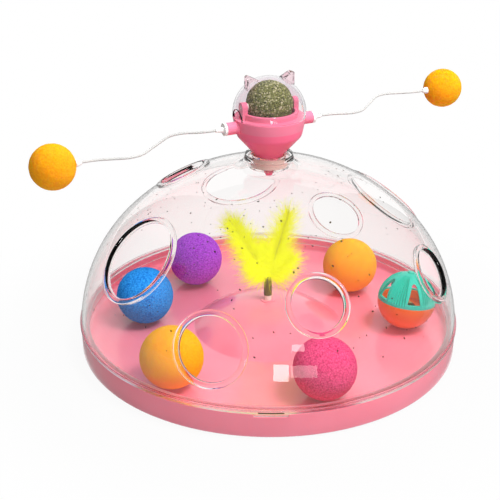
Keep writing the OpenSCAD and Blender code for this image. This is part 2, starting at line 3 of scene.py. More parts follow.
import logging
import random
from contextlib import contextmanager
from dataclasses import dataclass
from enum import Enum
from math import acos, asin, atan2, cos, degrees, hypot, pi, radians, sin, sqrt
from typing import Callable, Dict, Iterator, List, Sequence, Tuple, Union

import bpy
from mathutils import Euler, Matrix, Vector, geometry, noise


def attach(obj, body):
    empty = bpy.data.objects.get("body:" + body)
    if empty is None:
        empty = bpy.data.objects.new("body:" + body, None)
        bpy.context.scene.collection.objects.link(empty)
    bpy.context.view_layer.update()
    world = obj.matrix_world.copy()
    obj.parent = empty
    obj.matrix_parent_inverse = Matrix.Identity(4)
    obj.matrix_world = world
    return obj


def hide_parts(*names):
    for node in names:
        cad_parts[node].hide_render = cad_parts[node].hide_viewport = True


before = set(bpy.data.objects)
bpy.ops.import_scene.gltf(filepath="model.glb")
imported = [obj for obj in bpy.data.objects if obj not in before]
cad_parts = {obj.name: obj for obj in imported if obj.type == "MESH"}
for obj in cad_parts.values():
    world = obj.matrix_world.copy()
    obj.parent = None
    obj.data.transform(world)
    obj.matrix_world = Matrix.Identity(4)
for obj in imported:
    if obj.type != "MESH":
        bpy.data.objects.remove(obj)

Pair = Tuple[float, float]
Triple = Tuple[float, float, float]
Four = Tuple[float, float, float, float]
Colour = Triple
Ids = Tuple[int, ...]
Piece = bpy.types.Object
Tree = bpy.types.NodeTree
Node = bpy.types.Node
Socket = bpy.types.NodeSocket
Sockets = bpy.types.bpy_prop_collection
Inputs = Dict[Union[str, int], object]

MM = 0.001
TAU = 2 * pi
WHITE = (1, 1, 1, 1)
MERGE = 1e-6
SEEN = ("Camera", "Transmission", "Glossy")
log = logging.getLogger("feeder")


class Side(Enum):
    """Which arm or plume a piece belongs to, with the arm's turn about the axis in degrees."""

    RIGHT = 0
    LEFT = 180

    @property
    def word(self) -> str:
        """The side's name in the CAD nodes."""
        return self.name.lower()


class Pile(Enum):
    """Skin of a soft ball: its inset, even lift, divisions, and height and fineness of each wave of its noise."""

    PLUSH = (0.35, 0.0, 7, ((0.12, 7), (0.16, 19), (0.16, 44)))
    BOUNCE = (0.1, 0.0, 6, ((0.08, 6),))
    WING = (0.15, 0.0, 6, ((0.1, 8), (0.1, 24)))
    CRUMBS = (0.5, 0.1, 6, ((0.35, 9), (0.35, 21)))


def linear(colour: Colour) -> Four:
    """Turns a colour of the display into one of the shader.

    Args:
        colour: red, green and blue from 0 to 255.

    Returns:
        The linear colour with full alpha.
    """
    parts = [c / 255 for c in colour]
    return (*(p / 12.92 if p <= 0.04045 else ((p + 0.055) / 1.055) ** 2.4 for p in parts), 1.0)


# Places and outlines, in millimetres


def at_mm(x: float, y: float, z: float) -> Matrix:
    """The move to a point given in millimetres."""
    return Matrix.Translation((x * MM, y * MM, z * MM))


def turned(angle: float, axis: str) -> Matrix:
    """A turn in degrees about an axis of the frame."""
    return Matrix.Rotation(radians(angle), 4, axis)


def shares(count: int, first: float = 0.0) -> List[Matrix]:
    """Even turns about the upright axis, from a first one in degrees."""
    return [turned(360 * i / count + first, "Z") for i in range(count)]


def polar(r: float, az: float, z: float) -> Vector:
    """A point from its distance to the axis, its direction in radians and its level."""
    return Vector((r * cos(az), r * sin(az), z))


def circle(r: float, z: float, count: int, first: float = 0.0) -> List[Vector]:
    """Even points round the axis, the first one so many steps on."""
    return [polar(r, TAU * (k + first) / count, z) for k in range(count)]


def arc(x: float, y: float, radius: float, start: float, end: float, parts: int) -> List[Triple]:
    """Corners along an arc, none of them rounded.

    Args:
        x: its middle across.
        y: its middle upwards.
        radius: its radius.
        start: direction of its first corner in degrees.
        end: direction of its last corner.
        parts: number of parts between them.

    Returns:
        Across, up and nought for each corner.
    """
    turns = [radians(start + (end - start) * k / parts) for k in range(parts + 1)]
    return [(x + radius * cos(a), y + radius * sin(a), 0.0) for a in turns]


def softened(corners: Sequence[Triple], parts: int = 4) -> List[Pair]:
    """Rounds the corners of a closed outline.

    Args:
        corners: across, up and the radius of each corner; nought leaves it sharp.
        parts: pieces of each rounded corner.

    Returns:
        The outline with its corners cut to arcs.
    """
    out: List[Pair] = []
    for i, (x, y, radius) in enumerate(corners):
        if radius <= 0:
            out.append((x, y))
            continue
        p = Vector((x, y))
        u, v = Vector(corners[i - 1][:2]) - p, Vector(corners[(i + 1) % len(corners)][:2]) - p
        reach = min(radius, 0.48 * u.length, 0.48 * v.length)
        u, v = u.normalized() * reach, v.normalized() * reach
        for k in range(parts + 1):
            t = k / parts
            out.append(tuple(p + u * (1 - t) ** 2 + v * t ** 2))
    return out


# Mesh helpers


def clear_selection() -> None:
    """Leaves edit mode and deselects everything, so that an operator acts on the new piece alone."""
    if bpy.context.object is not None and bpy.context.object.mode != "OBJECT":
        bpy.ops.object.mode_set(mode="OBJECT")
    bpy.ops.object.select_all(action="DESELECT")


def focus(obj: Piece) -> None:
    """Makes a piece the only selected and the active one.

    Args:
        obj: the piece.
    """
    clear_selection()
    obj.select_set(True)
    bpy.context.view_layer.objects.active = obj


@contextmanager
def editing(obj: Piece) -> Iterator[None]:
    """Edit mode with the whole mesh of a piece selected.

    Args:
        obj: the piece.

    Returns:
        A context that leaves edit mode again.
    """
    focus(obj)
    bpy.ops.object.mode_set(mode="EDIT")
    bpy.ops.mesh.select_all(action="SELECT")
    yield
    bpy.ops.object.mode_set(mode="OBJECT")


def from_points(name: str, points: Sequence[Sequence[float]], faces: Sequence[Ids], edges: Sequence[Ids] = ()) -> Piece:
    """Makes an object from points in millimetres.

    Args:
        name: name of the piece.
        points: the points.
        faces: rings of points.
        edges: pairs of points, for an outline.

    Returns:
        The new object, linked to the scene.
    """
    mesh = bpy.data.meshes.new(name)
    mesh.from_pydata([(p[0] * MM, p[1] * MM, p[2] * MM) for p in points], edges, faces)
    mesh.update()
    obj = bpy.data.objects.new(name, mesh)
    bpy.context.scene.collection.objects.link(obj)
    return obj


def mend(obj: Piece, merge: float = MERGE) -> Piece:
    """Merges doubles and turns the faces outwards.

    Args:
        obj: the piece.
        merge: how near two points are that become one, in metres.

    Returns:
        The piece.
    """
    with editing(obj):
        bpy.ops.mesh.remove_doubles(threshold=merge)
        bpy.ops.mesh.normals_make_consistent(inside=False)
    return obj


def placed(obj: Piece, matrix: Matrix) -> Piece:
    """Puts a piece in its place by moving its mesh.

    Args:
        obj: the piece.
        matrix: the move.

    Returns:
        The piece.
    """
    obj.data.transform(matrix)
    obj.data.update()
    return obj


def finish_with(obj: Piece, kind: str, **values: object) -> None:
    """Adds a modifier with these values and applies it.

    Args:
        obj: the piece.
        kind: Blender's name of the modifier.
        **values: the modifier's settings.
    """
    focus(obj)
    modifier = obj.modifiers.new(kind.title(), kind)
    for key, value in values.items():
        setattr(modifier, key, value)
    bpy.ops.object.modifier_apply(modifier=modifier.name)


def soften_edges(obj: Piece, width: float, segments: int) -> None:
    """Bevels the sharp edges of a piece by a width in millimetres."""
    finish_with(obj, "BEVEL", width=width * MM, segments=segments, limit_method="ANGLE", angle_limit=radians(50))


def smooth(obj: Piece, angle: float = 40) -> Piece:
    """Shades a piece smooth except over sharp edges.

    Args:
        obj: the piece.
        angle: the sharpest smooth edge, in degrees.

    Returns:
        The piece.
    """
    focus(obj)
    bpy.ops.object.shade_smooth_by_angle(angle=radians(angle))
    return obj


def joined(pieces: Sequence[Piece]) -> Piece:
    """Joins pieces into the first of them.

    Args:
        pieces: the pieces.

    Returns:
        The first piece.
    """
    focus(pieces[0])
    for piece in pieces[1:]:
        piece.select_set(True)
    bpy.ops.object.join()
    return pieces[0]


def cut(obj: Piece, tool: Piece, operation: str = "DIFFERENCE") -> None:
    """Cuts or joins a piece with another one, which is used up.

    Args:
        obj: the piece that stays.
        tool: the piece that cuts or is added.
        operation: Blender's name of the operation.
    """
    finish_with(obj, "BOOLEAN", object=tool, operation=operation, solver="EXACT")
    bpy.data.objects.remove(tool)


def spun(name: str, corners: Sequence[Triple], steps: int) -> Piece:
    """Draws an outline of radius and height and spins it round the axis.

    Args:
        name: name of the piece.
        corners: radius, height and rounding of each corner; the outline closes on itself.
        steps: number of steps of the spin.

    Returns:
        The closed piece.
    """
    outline = softened(corners)
    n = len(outline)
    obj = from_points(name, [(r, 0, z) for r, z in outline], [], [(i, (i + 1) % n) for i in range(n)])
    with editing(obj):
        bpy.ops.mesh.spin(steps=steps, angle=TAU, center=(0, 0, 0), axis=(0, 0, 1))
    return mend(obj)


def rod(name: str, radius: float, start: float, end: float, edge: float, steps: int = 48) -> Piece:
    """A round rod along the axis with softened ends.

    Args:
        name: name of the piece.
        radius: its radius.
        start: where it begins on the axis.
        end: where it ends on the axis.
        edge: radius of its edges.
        steps: steps of the spin.

    Returns:
        The rod.
    """
    return spun(name, [(0, start, 0), (radius, start, edge), (radius, end, edge), (0, end, 0)], steps)


def prism(name: str, corners: Sequence[Triple], front: float, back: float) -> Piece:
    """An upright outline drawn across and up, run from front to back.

    Args:
        name: name of the piece.
        corners: across, up and rounding of each corner.
        front: where it begins in depth.
        back: where it ends in depth.

    Returns:
        The closed prism.
    """
    outline = softened(corners)
    obj = from_points(name, [(x, front, z) for x, z in outline], [tuple(range(len(outline)))])
    with editing(obj):
        bpy.ops.mesh.extrude_region_move(TRANSFORM_OT_translate={"value": (0, (back - front) * MM, 0)})
    return mend(obj)


def primitive(name: str, add: Callable[..., object], **values: object) -> Piece:
    """Adds a primitive with nothing else selected, and names it.

    Args:
        name: name of the piece.
        add: Blender's operator.
        **values: its settings.

    Returns:
        The new object.
    """
    clear_selection()
    add(**values)
    obj = bpy.context.object
    obj.name = obj.data.name = name
    return obj


def block(name: str, middle: Triple, size: Triple) -> Piece:
    """A block of a size round its middle, to cut with or to shape."""
    obj = primitive(name, bpy.ops.mesh.primitive_cube_add, size=1)
    return placed(obj, at_mm(*middle) @ Matrix.Diagonal((*(s * MM for s in size), 1)))


def ball(name: str, radius: float, divisions: int) -> Piece:
    """A fine ball round the origin, to be shaped."""
    return primitive(name, bpy.ops.mesh.primitive_ico_sphere_add, subdivisions=divisions, radius=radius * MM)


def soft_ball(name: str, radius: float, pile: Pile, where: Matrix, shift: Vector = Vector((0, 0, 0))) -> Piece:
    """A ball whose skin rises and falls as its pile does.

    Args:
        name: name of the piece.
        radius: its full radius.
        pile: its skin.
        where: its place.
        shift: place in the noise, so that no two balls are alike.

    Returns:
        The ball in its place.
    """
    inset, lift, divisions, waves = pile.value
    obj = ball(name, radius - inset, divisions)
    for v in obj.data.vertices:
        d = v.co.normalized()
        v.co += d * (sum(high * noise.noise(d * fine + shift) for high, fine in waves) + lift) * MM
    obj.data.update()
    return placed(smooth(obj, angle=80), where)


# Finishes


class Wiring:
    """The nodes of a material, a group or the world, and what leads from one to the next."""

    def __init__(self, tree: Tree) -> None:
        """Takes the tree that the nodes go in."""
        self.tree = tree

    def feed(self, node: Node, inputs: Inputs) -> Sockets:
        """Sets inputs of a node.

        Args:
            node: the node.
            inputs: for each input, by name or number, a value or the socket that leads there.

        Returns:
            The node's outputs.
        """
        for key, value in inputs.items():
            if isinstance(value, Socket):
                self.tree.links.new(value, node.inputs[key])
            else:
                node.inputs[key].default_value = value
        return node.outputs

    def add(self, kind: str, inputs: Inputs, **settings: object) -> Sockets:
        """Adds a node and sets it up.

        Args:
            kind: Blender's name of the node, after ShaderNode.
            inputs: its inputs, as feed takes them.
            **settings: its own settings.

        Returns:
            Its outputs.
        """
        node = self.tree.nodes.new("ShaderNode" + kind)
        for key, value in settings.items():
            setattr(node, key, value)
        return self.feed(node, inputs)

    def place(self) -> Socket:
        """The place on the piece."""
        return self.add("TexCoord", {})["Object"]

    def cloud(self, scale: object, detail: float) -> Socket:
        """Soft noise over the piece, its scale a number or a socket."""
        return self.add("TexNoise", {"Vector": self.place(), "Scale": scale, "Detail": detail})["Fac"]

    def cells(self, scale: object) -> Sockets:
        """Small cells over the piece, their scale a number or a socket."""
        return self.add("TexVoronoi", {"Vector": self.place(), "Scale": scale})

    def spread(self, value: Socket, low: object, high: object, first: object = 0.0, last: object = 1.0,
               **settings: object) -> Socket:
        """Stretches a value from one range to another.

        Args:
            value: the value.
            low: where it begins, a number or a socket as the next ones.
            high: where it ends.
            first: what it is there at the low end.
            last: what it is at the high end.
            **settings: the node's own settings.

        Returns:
            The stretched value.
        """
        ends = {"Value": value, "From Min": low, "From Max": high, "To Min": first, "To Max": last}
        return self.add("MapRange", ends, **settings)["Result"]

    def by_height(self, low: float, high: float, first: float, last: float) -> Socket:
        """A value that runs from the first to the last between two heights in millimetres."""
        return self.spread(self.add("SeparateXYZ", {0: self.place()})["Z"], low * MM, high * MM, first, last)

    def mix(self, factor: Socket, first: object, second: object, **settings: object) -> Socket:
        """Mixes two colours, each a colour or a socket, by a factor."""
        return self.add("Mix", {"Factor": factor, 6: first, 7: second}, data_type="RGBA", **settings)[2]

    def bump(self, height: Socket, strength: float, depth: float) -> Socket:
        """The normal of a height, raised with a strength and a depth in millimetres."""
        return self.add("Bump", {"Strength": strength, "Distance": depth * MM, "Height": height})["Normal"]

    def effect(self, group: Tree, **values: object) -> Sockets:
        """Places a shared effect with its own values."""
        return self.add("Group", values, node_tree=group)

    def rays(self, *kinds: str) -> Socket:
        """Tells rays of some kinds from the others.

        Args:
            *kinds: Light Path's names of the kinds.

        Returns:
            One or nought.
        """
        path = self.add("LightPath", {})
        top, *rest = [path[f"Is {kind} Ray"] for kind in kinds]
        for flag in rest:
            top = self.add("Math", {0: top, 1: flag}, operation="MAXIMUM")[0]
        return top

    def surface(self, factor: Socket, first: Socket, second: Socket, out: str = "Material Output") -> None:
        """Leads two shaders, mixed by a factor, to the output node of that name."""
        self.feed(self.tree.nodes[out], {"Surface": self.add("MixShader", {0: factor, 1: first, 2: second})[0]})


class Effects:
    """Shader groups that several finishes share, each built once."""

    @staticmethod
    def group(name: str, inputs: Dict[str, object], outputs: Dict[str, str],
              fill: Callable[[Wiring, Sockets], Inputs]) -> Tree:
        """Finds a group, and builds it the first time it is asked for.

        Args:
            name: name of the group.
            inputs: first value of each input, a number or a colour.
            outputs: kind of each output.
            fill: adds the nodes between them and gives what leads to each output.

        Returns:
            The group.
        """
        tree = bpy.data.node_groups.get(name)
        if tree is None:
            tree = bpy.data.node_groups.new(name, "ShaderNodeTree")
            kinds = {label: "Float" if isinstance(value, float) else "Color" for label, value in inputs.items()}
            for way, sockets in (("INPUT", kinds), ("OUTPUT", outputs)):
                for label, kind in sockets.items():
                    socket = tree.interface.new_socket(label, in_out=way, socket_type="NodeSocket" + kind)
                    if label in inputs:
                        socket.default_value = inputs[label]
            nodes = Wiring(tree)
            put, get = tree.nodes.new("NodeGroupInput"), tree.nodes.new("NodeGroupOutput")
            nodes.feed(get, fill(nodes, put.outputs))
        return tree

    @staticmethod
    def mottle() -> Tree:
        """Two colours that drift into each other over the surface.

        Returns:
            The group.
        """
        def fill(nodes: Wiring, put: Sockets) -> Inputs:
            """Clouds that choose between the colours."""
            value = nodes.spread(nodes.cloud(put["Scale"], detail=4), put["Low"], put["High"])
            return {"Colour": nodes.mix(value, put["Light"], put["Dark"])}

        inputs = {"Light": WHITE, "Dark": (0, 0, 0, 1), "Scale": 60.0, "Low": 0.35, "High": 0.65}
        return Effects.group("Mottle", inputs, {"Colour": "Color"}, fill)

    @staticmethod
    def grain() -> Tree:
        """Fine height of a moulded skin, and a value for its roughness.

        Returns:
            The group.
        """
        def fill(nodes: Wiring, put: Sockets) -> Inputs:
            """Fine noise for the height, broad clouds for the gloss."""
            gloss = nodes.spread(nodes.cloud(scale=45, detail=3), 0.3, 0.7, put["Bright"], put["Dull"])
            return {"Height": nodes.cloud(put["Scale"], detail=3), "Roughness": gloss}

        inputs = {"Scale": 900.0, "Dull": 0.4, "Bright": 0.3}
        return Effects.group("Moulded grain", inputs, {"Height": "Float", "Roughness": "Float"}, fill)

    @staticmethod
    def pile() -> Tree:
        """Little tufts of a plush or foam skin: their height, and painted shade that darkens the colour between them.

        Returns:
            The group.
        """
        def fill(nodes: Wiring, put: Sockets) -> Inputs:
            """Cells with a tangle run into them.

            Args:
                nodes: the group's nodes.
                put: its inputs.

            Returns:
                What leads to its outputs.
            """
            tuft, tangle = nodes.cells(put["Scale"])["Distance"], nodes.cloud(put["Scale"], detail=5)
            both = nodes.add("Mix", {"Factor": put["Tangle"], "A": tuft, "B": tangle})["Result"]
            height = nodes.add("Math", {0: 1, 1: both}, operation="SUBTRACT")[0]
            # Painted shade: a value that is high where the tufts sink, so that the colour is darker there.
            return {"Height": height, "Depth": nodes.spread(both, low=0.3, high=0.75)}

        return Effects.group("Pile", {"Scale": 700.0, "Tangle": 0.5}, {"Height": "Float", "Depth": "Float"}, fill)


@dataclass(frozen=True)
class Finish:
    """A finish with its own procedural material.

    Attributes:
        name: name of the material.
        light: main colour, red, green and blue from 0 to 255.
        dark: colour of the deeper patches; on plush, foam, the down's roots and the hub's cone it is painted shade.
    """

    name: str
    light: Colour
    dark: Colour

    def material(self) -> bpy.types.Material:
        """Finds the finish's material, and builds it the first time it is asked for.

        Returns:
            The material.
        """
        mat = bpy.data.materials.get(self.name)
        if mat is None:
            mat = bpy.data.materials.new(self.name)
            mat.use_nodes = True
            skin = mat.node_tree.nodes["Principled BSDF"]
            nodes = Wiring(mat.node_tree)
            nodes.feed(skin, self.shade(nodes, skin))
        return mat

    def shade(self, nodes: Wiring, skin: Node) -> Inputs:
        """Adds the nodes of the finish.

        Args:
            nodes: the material's nodes.
            skin: its Principled shader.

        Returns:
            What goes into that shader.
        """
        raise NotImplementedError

    def dress(self, obj: Piece) -> None:
        """Puts the finish on a piece."""
        obj.data.materials.clear()
        obj.data.materials.append(self.material())


@dataclass(frozen=True)
class MouldedPlastic(Finish):
    """Moulded plastic with a soft sheen.

    Attributes:
        dull: highest roughness.
        bright: lowest roughness.
        coat: weight of the polished skin.
        glow: how much light runs inside it.
        painted_sheen_and_floor_ramp: heights in millimetres between which the dark colour, painted shade, turns to the
            light one, a painted sheen, where it does.
        patches: where in the clouds the dark patches begin and end.
    """

    dull: float = 0.42
    bright: float = 0.3
    coat: float = 0.0
    glow: float = 0.0
    painted_sheen_and_floor_ramp: Pair = (0.0, 0.0)
    patches: Pair = (0.35, 0.65)

    def shade(self, nodes: Wiring, skin: Node) -> Inputs:
        """Drifting colour, uneven gloss and a fine grain.

        Args:
            nodes: the material's nodes.
            skin: its Principled shader; not used here.

        Returns:
            What goes into that shader.
        """
        light, dark = linear(self.light), linear(self.dark)
        low, high = self.patches
        colour = nodes.effect(Effects.mottle(), Light=light, Dark=dark, Scale=22.0, Low=low, High=high)["Colour"]
        # Where heights are given, the dark colour below them is painted shade and the light one above them a painted
        # sheen, as on the hub's cone and band.
        if any(self.painted_sheen_and_floor_ramp):
            colour = nodes.mix(nodes.by_height(*self.painted_sheen_and_floor_ramp, 0.0, 1.0), dark, colour)
        grain = nodes.effect(Effects.grain(), Scale=1400.0, Dull=self.dull, Bright=self.bright)
        return {"Base Color": colour, "Roughness": grain["Roughness"],
                "Normal": nodes.bump(grain["Height"], strength=0.06, depth=0.1), "Coat Weight": self.coat,
                "Coat Roughness": 0.12, "Subsurface Weight": self.glow, "Subsurface Radius": (1.0, 0.22, 0.2),
                "Subsurface Scale": 0.01}


@dataclass(frozen=True)
class ClearPlastic(Finish):
    """Clear moulded plastic that lets the lamps through.

    Attributes:
        ior: bending of light.
        frost: haze of its lower edge.
        level: height of that edge in millimetres.
    """

    ior: float = 1.49
    frost: float = 0.0
    level: float = 0.0

    def shade(self, nodes: Wiring, skin: Node) -> Inputs:
        """Clear shader for the eye, plain tint for rays from the lamps.

        Args:
            nodes: the material's nodes.
            skin: its Principled shader.

        Returns:
            What goes into that shader.
        """
        through = nodes.add("BsdfTransparent", {"Color": linear(self.dark)})[0]
        nodes.surface(nodes.rays("Shadow", "Diffuse"), skin.outputs[0], through)
        haze = nodes.by_height(self.level, self.level + 0.2, self.frost, 0.0) if self.frost else 0.0
        return {"Base Color": linear(self.light), "Transmission Weight": 1.0, "Roughness": haze, "IOR": self.ior}


@dataclass(frozen=True)
class PileSkin(Finish):
    """Short plush, flocked foam or another skin of small tufts.

    Attributes:
        scale: tufts to the metre.
        tangle: how far the tufts run into each other.
        depth_mm: depth of the tufts.
        sheen: light that the fibre tips catch.
        glow: how much light runs inside it.
    """

    scale: float = 900.0
    tangle: float = 0.5
    depth_mm: float = 0.55
    sheen: float = 0.4
    glow: float = 0.0

    def shade(self, nodes: Wiring, skin: Node) -> Inputs:
        """Tufts with painted shade between them and a sheen on their tips.

        Args:
            nodes: the material's nodes.
            skin: its Principled shader; not used here.

        Returns:
            What goes into that shader.
        """
        light = linear(self.light)
        pile = nodes.effect(Effects.pile(), Scale=self.scale, Tangle=self.tangle)
        # The dark colour between the tufts is painted shade.
        return {"Base Color": nodes.mix(pile["Depth"], light, linear(self.dark)), "Roughness": 0.95,
                "Specular IOR Level": 0.15, "Sheen Weight": self.sheen, "Sheen Roughness": 0.5, "Sheen Tint": light,
                "Subsurface Weight": self.glow, "Subsurface Scale": 0.016,
                "Subsurface Radius": [(c / max(light[:3])) ** 1.5 for c in light[:3]],
                "Normal": nodes.bump(pile["Height"], strength=0.55, depth=self.depth_mm)}


@dataclass(frozen=True)
class PressedHerb(Finish):
    """Dried leaf pressed to a ball: green, straw and dark crumbs.

    Attributes:
        straw: colour of the pale stalks.
        scale: crumbs to the metre.
        stalk: colour of the palest ones.
    """

    straw: Colour
    scale: float
    stalk: Colour = (225, 222, 178)

    def shade(self, nodes: Wiring, skin: Node) -> Inputs:
        """A colour for each crumb, painted shade between the crumbs, and a rough height.

        Args:
            nodes: the material's nodes.
            skin: its Principled shader; not used here.

        Returns:
            What goes into that shader.
        """
        pile = nodes.effect(Effects.pile(), Scale=self.scale, Tangle=0.4)
        chance = nodes.add("SeparateColor", {"Color": nodes.cells(self.scale)["Color"]})["Red"]
        colour = nodes.add("ValToRGB", {"Fac": chance})["Color"]
        ramp = colour.node.color_ramp.elements
        stops = ((0.0, self.dark), (0.35, self.light), (0.75, self.light), (0.9, self.straw), (1.0, self.stalk))
        for i, (at, shade) in enumerate(stops):
            stop = ramp[i] if i < 2 else ramp.new(at)
            stop.position, stop.color = at, linear(shade)
        # Painted shade: the colour darkens where the pile sinks between the crumbs.
        deep = nodes.mix(pile["Depth"], colour, (0.35, 0.35, 0.3, 1), blend_type="MULTIPLY")
        return {"Base Color": deep, "Roughness": 0.9, "Specular IOR Level": 0.2,
                "Normal": nodes.bump(pile["Height"], strength=0.8, depth=0.8)}


@dataclass(frozen=True)
class Down(Finish):
    """Dyed down of a fluffy feather with a painted glow: paler at its tips and darker at its roots with painted shade,
    which the piece's own attribute marks.
    """

    def shade(self, nodes: Wiring, skin: Node) -> Inputs:
        """Colour from painted shade at the root to the pale tip, with a painted glow of the same colour.

        Args:
            nodes: the material's nodes.
            skin: its Principled shader; not used here.

        Returns:
            What goes into that shader.
        """
        light = linear(self.light)
        # The dark root colour is painted shade; the emission is a painted glow.
        colour = nodes.mix(nodes.add("Attribute", {}, attribute_name="tip")["Fac"], linear(self.dark), light)
        return {"Base Color": colour, "Roughness": 0.85, "Specular IOR Level": 0.1, "Sheen Weight": 0.8,
                "Sheen Tint": light, "Emission Color": colour, "Emission Strength": 0.13}


@dataclass(frozen=True)
class Metal(Finish):
    """Bright stamped metal.

    Attributes:
        dull: highest roughness.
        bright: lowest roughness.
    """

    dull: float = 0.38
    bright: float = 0.2

    def shade(self, nodes: Wiring, skin: Node) -> Inputs:
        """Metal with faint clouds of wear.

        Args:
            nodes: the material's nodes.
            skin: its Principled shader; not used here.

        Returns:
            What goes into that shader.
        """
        mottle = nodes.effect(Effects.mottle(), Light=linear(self.light), Dark=linear(self.dark), Scale=260.0)
        grain = nodes.effect(Effects.grain(), Scale=2500.0, Dull=self.dull, Bright=self.bright)
        return {"Base Color": mottle["Colour"], "Roughness": grain["Roughness"], "Metallic": 1.0}


class Finishes:
    """All finishes of the feeder."""

    TRAY = MouldedPlastic("tray_pink_plastic", (254, 140, 160), (250, 132, 152), 0.4, 0.28, 0.8, 0.25)
    # The hub's pale band over its deeper cone is painted sheen and painted shade.
    HUB = MouldedPlastic("hub_pink_plastic", (247, 131, 160), (255, 110, 148), 0.45, 0.32, painted_sheen_and_floor_ramp=(146.6, 147.4),
                         patches=(0.55, 1.1))
    CREAM = MouldedPlastic("cream_plastic", (232, 205, 182), (222, 190, 168), 0.45, 0.35)
    BUSH = MouldedPlastic("bushing_plastic", (240, 208, 196), (232, 196, 182), 0.5, 0.4)
    WHITE = MouldedPlastic("white_plastic", (244, 242, 238), (232, 230, 226), 0.5, 0.4)
    WIRE = MouldedPlastic("white_wire_coat", (206, 205, 203), (190, 189, 187), 0.4, 0.3)
    SLEEVE = MouldedPlastic("olive_sleeve", (112, 112, 44), (82, 84, 34), 0.6, 0.5)
    QUILL = MouldedPlastic("quill_straw", (214, 212, 60), (190, 186, 44), 0.6, 0.5)
    TEAL = MouldedPlastic("bell_ball_teal", (36, 204, 178), (24, 184, 160), 0.38, 0.26)
    ORANGE = MouldedPlastic("bell_ball_orange", (248, 120, 0), (238, 102, 0), 0.38, 0.26)
    RUBBER = MouldedPlastic("grey_rubber", (206, 206, 206), (188, 188, 188), 0.8, 0.7)
    # This finish also colours the painted shadow strip at the front of the dome's flange.
    SPECK_AND_SHADOW = MouldedPlastic("printed_specks_and_painted_shadow", (34, 28, 24), (70, 54, 30), 0.6, 0.5)
    DOME = ClearPlastic("clear_dome", (254, 252, 251), (250, 249, 249), ior=1.44, frost=0.3, level=19.1)
    COVER = ClearPlastic("clear_cover", (244, 240, 243), (244, 241, 244))
    EAR = ClearPlastic("clear_ear", (246, 222, 228), (244, 226, 230))
    WING = PileSkin("orange_wing_foam", (252, 176, 38), (238, 148, 22), 900.0, 0.6, 0.3, 0.2, 0.85)
    BOUNCE = PileSkin("orange_ball_foam", (252, 180, 42), (244, 156, 28), 900.0, 0.6, 0.2, 0.2, 0.85)
    BLUE = PileSkin("blue_plush", (56, 166, 250), (12, 98, 194), sheen=0.3)
    PURPLE = PileSkin("purple_plush", (204, 86, 250), (128, 36, 186))
    PINK = PileSkin("pink_plush", (251, 88, 144), (200, 32, 88))
    HERB = PressedHerb("catnip_herb", (150, 156, 88), (46, 52, 22), (236, 232, 184), 1300.0)
    # The down's darker root colour is painted shade, and the down carries a painted glow.
    DOWN = Down("yellow_down", (248, 255, 24), (230, 230, 0))
    BRASS = Metal("bell_brass", (214, 186, 112), (186, 152, 82))
    STEEL = Metal("pellet_steel", (170, 170, 172), (140, 140, 144))


def settle(obj: Piece, finish: Finish, body: str, slot: str, *nodes: str) -> None:
    """Dresses a finished piece and lets it ride on its body.

    Args:
        obj: the piece.
        finish: its finish.
        body: the CAD body that it moves with.
        slot: the record's material slot; not used.
        *nodes: CAD nodes that it stands for.
    """
    finish.dress(obj)
    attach(obj, body)
    if nodes:
        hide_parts(*nodes)
    log.info("%s rides on %s", obj.name, body)


def dress_nodes(finish: Finish, *nodes: str) -> None:
    """Gives CAD nodes that stay in view their finish.

    Args:
        finish: the finish.
        *nodes: names of the nodes.
    """
    for node in nodes:
        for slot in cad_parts[node].material_slots:
            slot.material = finish.material()
        log.info("%s keeps its solid", node)


# Tray and feet


